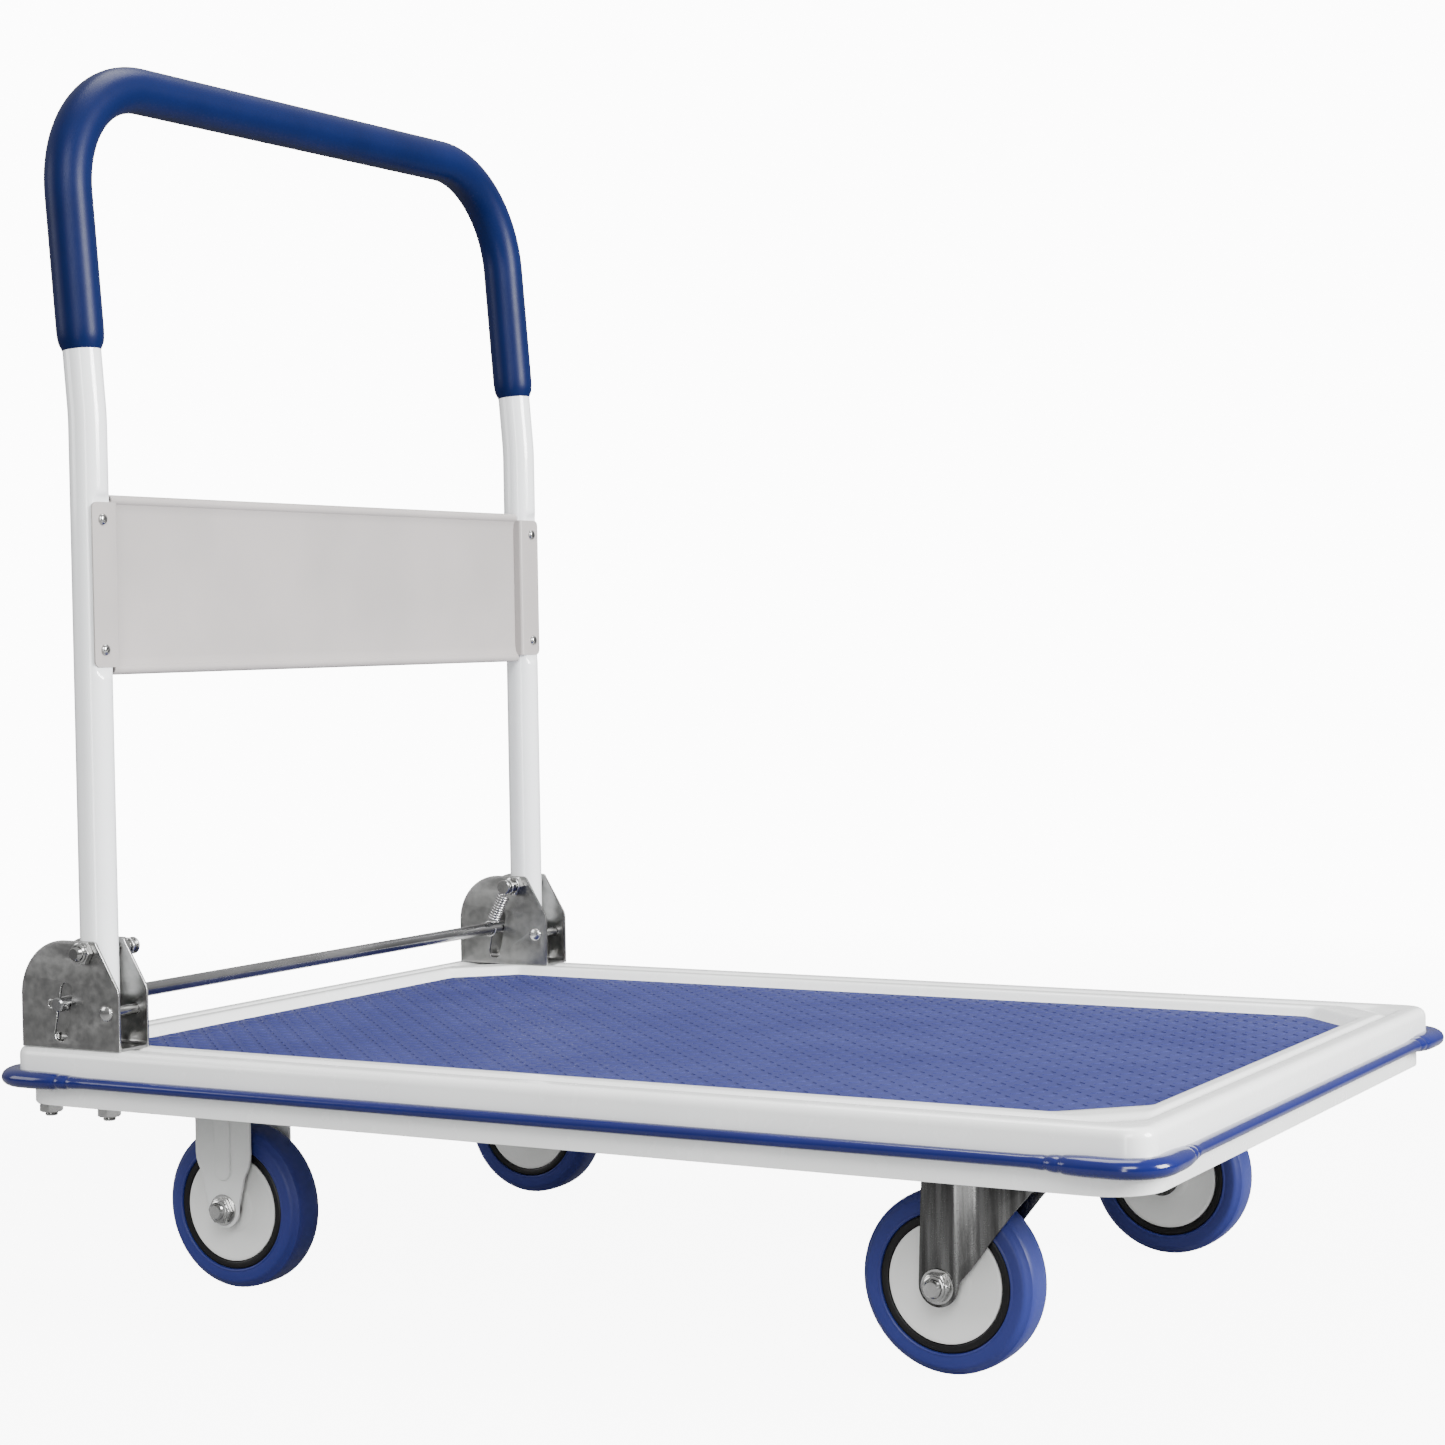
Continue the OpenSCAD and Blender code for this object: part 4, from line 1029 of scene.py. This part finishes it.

# %% [markdown]
# ## The hinge brackets
# Each leg stands in a U bent from plate: two cheeks with a slot for the
# release bar, and a base that is bolted through the deck. The faces are dull
# from rolling and plating. The cut edges, slots included, get a lighter and
# glossier finish. Partly this is the bare steel of the cut, and partly it is a
# painted highlight for the light that such narrow edges catch.

# %% Draw a cheek
CHEEK, ARC_R, FRONT_CUT = 2.2, 42.8, (22.5, 36.0)
STUD_R, STOP_R, HOLE_GAP = 5.0, 4.0, 0.05
SLOT_LOW, SLOT_HIGH, SLOT_R = Vector((38.2, 11)), Vector((44.7, 44)), 5.8
slot_angle = math.degrees(math.atan2(SLOT_HIGH.y - SLOT_LOW.y, SLOT_HIGH.x - SLOT_LOW.x))
slot_cut = (arc(*SLOT_LOW, SLOT_R, slot_angle + 90, slot_angle + 270, 16)
            + arc(*SLOT_HIGH, SLOT_R, slot_angle - 90, slot_angle + 90, 16))
stop = middle("stop_pins")
plate_size = plate_high - plate_low
cheek = ([(0.6, 0), (plate_size.x - 0.6, 0), (plate_size.x, 0.6),
          (plate_size.x, plate_size.z - FRONT_CUT[1] - 3)]
         + [(plate_size.x - 0.9, plate_size.z - FRONT_CUT[1] + 1.4),
            (plate_size.x - FRONT_CUT[0] + 2.2, plate_size.z - 2.8)]
         + arc(plate_size.x - FRONT_CUT[0] - 1.4, plate_size.z - 4, 4, 40, 90, 6)
         + arc(ARC_R, plate_size.z - ARC_R, ARC_R, 90, 180, 40) + [(0, 0.6)])
stud_hole = arc(pivot.x - plate_low.x, pivot.z - plate_low.z, STUD_R + HOLE_GAP, 0, 345, 24)
stop_hole = arc(stop.x - plate_low.x, stop.z - plate_low.z, STOP_R + HOLE_GAP, 0, 345, 24)
print("cheek", round(plate_size.x, 1), "by", round(plate_size.z, 1))

# %% Fold the brackets
for side, s in SIDES.items():
    low, high = box_mm(f"bracket_{side}")
    mid_y = (low.y + high.y) / 2
    half = (high.y - low.y) / 2
    parts = []
    for m in (-1, 1):
        y = mid_y + m * (half - CHEEK / 2)
        parts.append(plate([cheek, slot_cut, stud_hole, stop_hole], CHEEK,
                           lambda u, v, w, y=y: (low.x + u, y + w, low.z + v), 0.55))
    parts.append(plate([[(0.5, -half + CHEEK), (plate_size.x - 0.5, -half + CHEEK),
                         (plate_size.x - 0.5, half - CHEEK), (0.5, half - CHEEK)]], CHEEK,
                       lambda u, v, w: (low.x + u, mid_y + v, low.z + CHEEK / 2 + w), 0.3))
    for m in (-1, 1):
        inner = mid_y + m * (half - CHEEK)
        cove = [(inner, 0), (inner - m * 2.6, 0), (inner - m * 1.6, 0.25), (inner - m * 0.8, 0.8),
                (inner - m * 0.25, 1.6), (inner, 2.6)]
        parts.append(loft([[(x, y, low.z + CHEEK + z) for y, z in cove]
                           for x in (low.x + 0.6, high.x - 0.6)], caps=True))

    # The cut edges get the lighter finish: partly bare cut steel, partly a painted highlight.
    def bare_edge_and_highlight(at, normal):
        return abs(at.y - mid_y) > half - CHEEK - 0.01 and abs(normal.y) < 0.9

    piece(f"cheeks_{side}", merge(*parts), "deck", "bracket_zinc", [f"bracket_{side}"], sharp=25,
          trim=("bright_zinc", bare_edge_and_highlight))

# %% [markdown]
# Two bolts hold each bracket down, a riveted pin stops the leg, and a stud
# with a nut on each side is its pivot.

# %% Bolt the brackets down
bolts_low, bolts_high = box_mm("bracket_bolts")
nuts_low, nuts_high = box_mm("bracket_nuts")
anchor_corner = (bolts_high.y - leg_y) / HEX_FLAT
ANCHOR_HEAD, ANCHOR_WASHER, MARK_R, MARK_DEEP = 6.4, 1.2, 2, 0.8
anchor_r = anchor_corner / 1.84
anchor_xs = (bolts_low.x + anchor_corner, bolts_high.x - anchor_corner)
head_z, thread_z = bolts_high.z - ANCHOR_HEAD, nuts_low.z + 2
mark_z, nut_top = bolts_high.z - MARK_DEEP, nuts_high.z - ANCHOR_WASHER
bolt = merge(hex_body(anchor_corner, head_z + 0.8, bolts_high.z, MARK_R),
             turned([(0, mark_z), (MARK_R, mark_z), (MARK_R, bolts_high.z)]),
             washer(anchor_corner + 1, anchor_r, head_z, head_z + 1.1),
             turned([(0, head_z), (anchor_r, head_z), (anchor_r, thread_z)]),
             threaded_end(anchor_r, thread_z, bolts_low.z))
nut = merge(washer(anchor_corner + 1, anchor_r, nuts_high.z, nut_top),
            hex_body(anchor_corner, nuts_low.z, nut_top, anchor_r))
places = [(x, s * leg_y, 0) for s in SIDES.values() for x in anchor_xs]
bolts = [stood(bolt, at) for at in places]
nuts = [stood(nut, at) for at in places]
piece("anchor_bolts", merge(*bolts), "deck", "bright_zinc", ["bracket_bolts"])
piece("anchor_nuts", merge(*nuts), "deck", "bright_zinc", ["bracket_nuts"])

# %% Rivet the stop pins
bracket_half = plate_size.y / 2
RIVET_R, RIVET_H = 6.0, 2.5
rivet = [(0, -bracket_half - RIVET_H)]
rivet += [(RIVET_R * math.sin(t), -bracket_half - RIVET_H * math.cos(t) ** 0.8)
          for t in np.linspace(0.25, math.pi / 2 - 0.05, 7)]
rivet += [(RIVET_R, -bracket_half), (STOP_R, -bracket_half)]
rivet = rivet + [(r, -y) for r, y in reversed(rivet)]
piece("riveted_stops", merge(*[lathe(rivet, (stop.x, s * leg_y, stop.z), 48, ring=False)
                               for s in SIDES.values()]), "deck", "bright_zinc", ["stop_pins"])

# %% Fit the pivots
STUD_IN = 19.5
stud_out = box_mm("pivot_studs")[1].y - leg_y
pivot_nut_low, pivot_nut_high = box_mm("pivot_nuts")
pivot_nut_h = pivot_nut_high.y - leg_y - bracket_half
pivot_corner = (pivot_nut_high.z - pivot_nut_low.z) / 2 / HEX_FLAT
b, stud_end = bracket_half, -bracket_half - STUD_IN
rod = [(0, stud_end - 2), (STUD_R + 1, stud_end - 2), (STUD_R + 1.5, stud_end - 1.6),
       (STUD_R + 1.5, stud_end - 0.4), (STUD_R + 1, stud_end), (STUD_R, stud_end),
       (STUD_R, b + 2), (0, b + 2)]
stud = merge(turned(rod, 40), threaded_end(STUD_R, b + 2, stud_out))
nut = merge(locking_nut(pivot_corner, STUD_R, b, b + pivot_nut_h),
            hex_body(pivot_corner, -b - pivot_nut_h, -b, STUD_R))
places = [((pivot.x, s * leg_y, pivot.z), s < 0) for s in SIDES.values()]
studs = [moved(stud, at, flip) for at, flip in places]
nuts = [moved(nut, at, flip) for at, flip in places]
piece("pivot_bolts", merge(*studs), "deck", "bright_zinc", ["pivot_studs"])
piece("pivot_locknuts", merge(*nuts), "deck", "bright_zinc", ["pivot_nuts"])

# %% [markdown]
# ## The release bar and its springs
# A rod lies in the slots of all four cheeks. A split pin at each end keeps it
# there, and a coil spring on each side pulls it up to the pivot.

# %% Make the release bar
bar_half = bar_high.y
rod = [(0, -bar_half), (bar_r - 1, -bar_half), (bar_r, -bar_half + 1)]
rod = rod + [(r, -y) for r, y in reversed(rod)]
piece("release_rod", lathe(rod, (bar.x, 0, bar.z), 40, ring=False), "release", "bar_steel",
      ["release_bar"])

# %% Bend the split pins
PIN_WIRE, LOOP_R = 0.85, 3.0
pins_low, pins_high = box_mm("bar_pins")
front, rear = pins_high.x - bar.x, pins_low.x - bar.x
pin_y, loop_x = pins_high.y - 2.6, rear + 2.6
way = [(front, 2.2), (bar_r + 1, PIN_WIRE), (-bar_r, PIN_WIRE)]
way += [(loop_x + LOOP_R * math.cos(math.radians(a)), LOOP_R * math.sin(math.radians(a)))
        for a in range(30, 331, 20)]
way += [(-bar_r, -PIN_WIRE), (bar_r + 1, -PIN_WIRE), (front - 3, -2.6)]
pins = [sweep([(bar.x + x, s * pin_y, bar.z + z) for x, z in way], [PIN_WIRE] * len(way), 14)
        for s in SIDES.values()]
piece("split_pins", merge(*pins), "release", "bright_zinc", ["bar_pins"])

# %% Wind the springs
WIRE, COIL_PITCH, COIL_STEPS, LEAD = 0.75, 2.4, 14, 3.2
spring_low, spring_high = box_mm("spring_left")
coil_r = (spring_high.y - spring_low.y) / 2 - WIRE
gap = pivot - bar
span = math.hypot(gap.x, gap.z)
eye_low, eye_top = bar_r + 0.3 + WIRE, STUD_R + 0.2 + WIRE
to_stud = Vector((gap.x, 0, gap.z)).normalized()
across = Vector((to_stud.z, 0, -to_stud.x))
coil_from, coil_to = eye_low + LEAD, span - eye_top - LEAD
turns = round((coil_to - coil_from) / COIL_PITCH)
for side in SIDES:
    at = Vector((bar.x, middle(f"spring_{side}").y, bar.z))
    way = [(eye_low * math.sin(math.radians(a)), 0, eye_low * math.cos(math.radians(a)))
           for a in range(-300, 1, 15)]
    way += [(0.8, 0, coil_from - 2.2), (2.6, 0, coil_from - 0.8)]
    for k in range(turns * COIL_STEPS + 1):
        t = k / COIL_STEPS
        way.append((coil_r * math.cos(2 * math.pi * t), coil_r * math.sin(2 * math.pi * t),
                    coil_from + t * (coil_to - coil_from) / turns))
    way += [(2.6, 0, coil_to + 0.8), (0.8, 0, coil_to + 2.2)]
    way += [(eye_top * math.sin(math.radians(a)), 0, span - eye_top * math.cos(math.radians(a)))
            for a in range(0, 301, 15)]
    points = [at + across * u + Vector((0, 1, 0)) * v + to_stud * w for u, v, w in way]
    piece(f"coil_spring_{side}", sweep(points, [WIRE] * len(points), 10), "deck",
          "spring_steel", [f"spring_{side}"], sharp=60)

# %% [markdown]
# ## The fixed forks
# Each fixed fork is one plate bent down on both sides of the wheel, narrowed
# to the axle and stiffened by a pressed rib.

# %% Press the fixed forks
FORK_T, EYE, LEG_HALF = 2.5, 14.0, 26.0
BASE_T, BASE_CORNER = 3.5, 8
RIB_HALF, RIB_OUT, RIB_RISE = 8.0, 1.9, 30.0
# How far the fillet under the base stands out, and how far down it reaches.
FILLET = [(-0.2, 6), (1.2, 3.4), (4, 2)]
for side in SIDES:
    low, high = box_mm(f"rigid_fork_{side}")
    axle = middle(f"tyre_rear_{side}")
    leg_in = wheel_half + 6
    half = LEG_HALF
    top = high.z - BASE_T / 2 - axle.z
    right_edge = [(EYE, 1), (EYE + 0.6, 5), (half - 6, 26), (half - 2.2, 33), (half - 0.5, 38),
                  (half, 43), (half, top)]
    leg = arc(0, 0, EYE, 180, 360, 28) + right_edge + [(-u, v) for u, v in reversed(right_edge)]
    hole = arc(0, 0, AXLE_R + 0.2, 0, 345, 24)
    parts = []
    for m in (-1, 1):
        at_y = axle.y + m * (leg_in + FORK_T / 2)
        parts.append(plate([leg, hole], FORK_T,
                           lambda u, v, w, y=at_y: (axle.x + u, y + w, axle.z + v), 0.4))
        rib = []
        for inset, out in [(0, -0.3), (0, 0.2), (0.35, 1.0), (0.8, 1.6), (1.7, RIB_OUT)]:
            r = RIB_HALF - inset
            ring = [(r, top - 1), (-r, top - 1)] + arc(0, RIB_RISE, r, 180, 360, 21)
            y = axle.y + m * (leg_in + FORK_T + out)
            rib.append([(axle.x + u, y, axle.z + v) for u, v in ring])
        parts.append(loft(rib, caps=True))
        y0 = axle.y + m * (leg_in + FORK_T)
        edge = half - 0.5
        parts.append(loft([[(axle.x + u, y0 + m * out, axle.z + top - down)
                            for u, down in ((-edge, drop), (edge, drop), (edge, 0), (-edge, 0))]
                           for out, drop in FILLET], caps=True))
    base_l, base_w = high.x - low.x, high.y - low.y
    base = [(x, y) for x, y, z in outline(base_l / 2, base_w / 2, ROUND_CUT * BASE_CORNER,
                                    BASE_CORNER, 0, 6)]
    base_mid = ((low.x + high.x) / 2, (low.y + high.y) / 2)
    parts.append(plate([base], BASE_T, lambda u, v, w: (base_mid[0] + u, base_mid[1] + v,
                                                        high.z - BASE_T / 2 + w), 0.4))
    piece(f"fixed_fork_{side}", merge(*parts), "deck", "fork_grey", [f"rigid_fork_{side}"])

# %% [markdown]
# ## The swivel forks
# A swivel fork's legs are jogged: a flat strip carries the axle outside the
# wheel, and a web behind it steps inward and rakes up to the round head.

# %% Press the swivel forks
STRIP_IN, WEB_IN = 7.5, 1.5
JOG_FROM, JOG_RUN = 12.0, 14.0
HEAD_R, HEAD_T, HEAD_DROP = 38.0, 3.0, 1.8
for side in SIDES:
    low, high = box_mm(f"swivel_fork_{side}")
    axle = middle(f"tyre_front_{side}")
    swivel_x = high.x - HEAD_R
    reach = high.x - axle.x
    head_low = high.z - HEAD_DROP - HEAD_T
    top = head_low + HEAD_T - axle.z
    edge_in = [(reach, top), (reach, top - HEAD_T - 3), (0.86 * reach, 0.83 * top),
               (0.72 * reach, 0.68 * top), (0.57 * reach, 0.50 * top), (0.43 * reach, 0.33 * top),
               (0.30 * reach, 0.16 * top), (EYE + 0.6, 3)]
    leg = edge_in[::-1] + [(3 - EYE, top), (0.6 - EYE, 0.22 * top), (-EYE, 2)]
    leg += arc(0, 0, EYE, 180, 360, 28)
    hole = arc(0, 0, AXLE_R + 0.2, 0, 345, 24)
    cuts = [JOG_FROM + d for d in (-2, -1.2, -0.4, 0.4, 1.2, 2)]
    cuts += [u + JOG_RUN for u in cuts]

    def jog(u):
        """Distance from the wheel's middle: a straight slope with soft bends."""
        slope = np.clip((u - JOG_FROM + np.linspace(-1.6, 1.6, 7)) / JOG_RUN, 0, 1).mean()
        return between(STRIP_IN, WEB_IN, slope) + wheel_half

    parts = []
    for m in (-1, 1):
        parts.append(plate([leg, hole], FORK_T,
                           lambda u, v, w, m=m: (axle.x + u,
                                                 axle.y + m * (jog(u) + FORK_T / 2) + w,
                                                 axle.z + v), 0.4, cuts))
    half = STRIP_IN + wheel_half
    across_head = math.sqrt(HEAD_R ** 2 - half ** 2)
    sweep_angle = math.degrees(math.atan2(half, across_head))
    head = ([(3 - EYE, half), (3 - EYE, -half)]
            + arc(swivel_x - axle.x, 0, HEAD_R, -sweep_angle, sweep_angle, 25))
    parts.append(plate([head], HEAD_T, lambda u, v, w: (axle.x + u, axle.y + v,
                                                        head_low + HEAD_T / 2 + w), 0.4))
    race = [(15, head_low + HEAD_T - 0.5), (28.5, head_low + HEAD_T - 0.5),
            (28.5, head_low + HEAD_T + 1), (27.8, high.z - 0.1), (27, high.z), (22.5, high.z),
            (21.5, high.z - 0.8), (15, head_low + HEAD_T + 0.2)]
    parts.append(stood(lathe(race, (0, 0, 0), 64), (swivel_x, axle.y, 0)))
    piece(f"turning_fork_{side}", merge(*parts), f"swivel_{side}", "swivel_zinc",
          [f"swivel_fork_{side}"])

# %% [markdown]
# ## Under the deck
# The channel, rails, plates and small fasteners below are seen only from
# beneath. The frame's own shapes serve there, with their edges broken.

# %% Break the edges of the pieces below
below = ["handle_channel", "rear_caster_rail", "front_caster_rail", "stiffener_rails",
         "swivel_plates", "kingpins", "caster_bolts", "caster_nuts", "rear_sleeves",
         "front_sleeve_right", "front_sleeve_left", "pivot_bushes"]
below += [n for n in frame["nodes"] if n.startswith("bearings_")]
for name in below:
    node = frame["nodes"][name]
    weld = node.modifiers.new("weld", "WELD")
    weld.merge_threshold = 1e-6
    soften = node.modifiers.new("edges", "BEVEL")
    soften.width, soften.segments = 0.4 * MM, 2
    soften.limit_method, soften.angle_limit = "ANGLE", math.radians(35)
print("edges broken on", len(below), "nodes")

# %% [markdown]
# ## Floor and room
# The floor is a pale sheet that thins out away from the cart, and the backdrop
# behind it is plain white. The room that lights the cart is dimmer, and
# dimmest at the height of the cart, so that shiny parts have something dark in
# them. Rays that come straight from the camera see the white instead.

# %% Lay the floor and hang the backdrop
FLOOR_HALF, FLOOR_SHOWS = 8.0, 0.28
floor_mesh = bpy.data.meshes.new("floor")
floor_mesh.from_pydata([(x * FLOOR_HALF, y * FLOOR_HALF, 0)
                        for x, y in ((-1, -1), (1, -1), (1, 1), (-1, 1))], [], [(0, 1, 2, 3)])
floor = bpy.data.objects.new("floor", floor_mesh)
bpy.context.collection.objects.link(floor)
pale = Finish("floor_sheet", Roughness=0.7, Specular_IOR_Level=0.1)
pale.into("Base Color", pale.mix(pale.noise(0.8), (0.84, 0.84, 0.84), (0.80, 0.80, 0.80)))
away = pale.node("ShaderNodeVectorMath", {"operation": "LENGTH"}, {0: pale.place}, "Value")
pale.into("Alpha", FLOOR_SHOWS - pale.spread(away, 0.9, 2.6) * FLOOR_SHOWS)
floor_mesh.materials.append(pale.material)
print("floor laid,", 2 * FLOOR_HALF, "m across")

# %% Dim the room behind a white backdrop
WHITE = (12, 12, 12, 1)
world = bpy.data.worlds.new("studio")
bpy.context.scene.world = world
world.use_nodes = True
room = Nodes(world.node_tree, "Generated")
height = room.node("ShaderNodeSeparateXYZ", {}, {0: room.place}, "Z")
sky = room.spread(height, -0.1, 0.75)
shade = room.mix(sky, (0.24, 0.24, 0.245), (0.80, 0.80, 0.80))
seen_directly = room.node("ShaderNodeLightPath", out="Is Camera Ray")
tone = room.node("ShaderNodeMix", {"data_type": "RGBA"},
                 {0: seen_directly, 6: shade, 7: WHITE}, out=2)
background = room.tree.nodes["Background"]
room.tree.links.new(tone.socket, background.inputs["Color"])
print("room and backdrop ready")
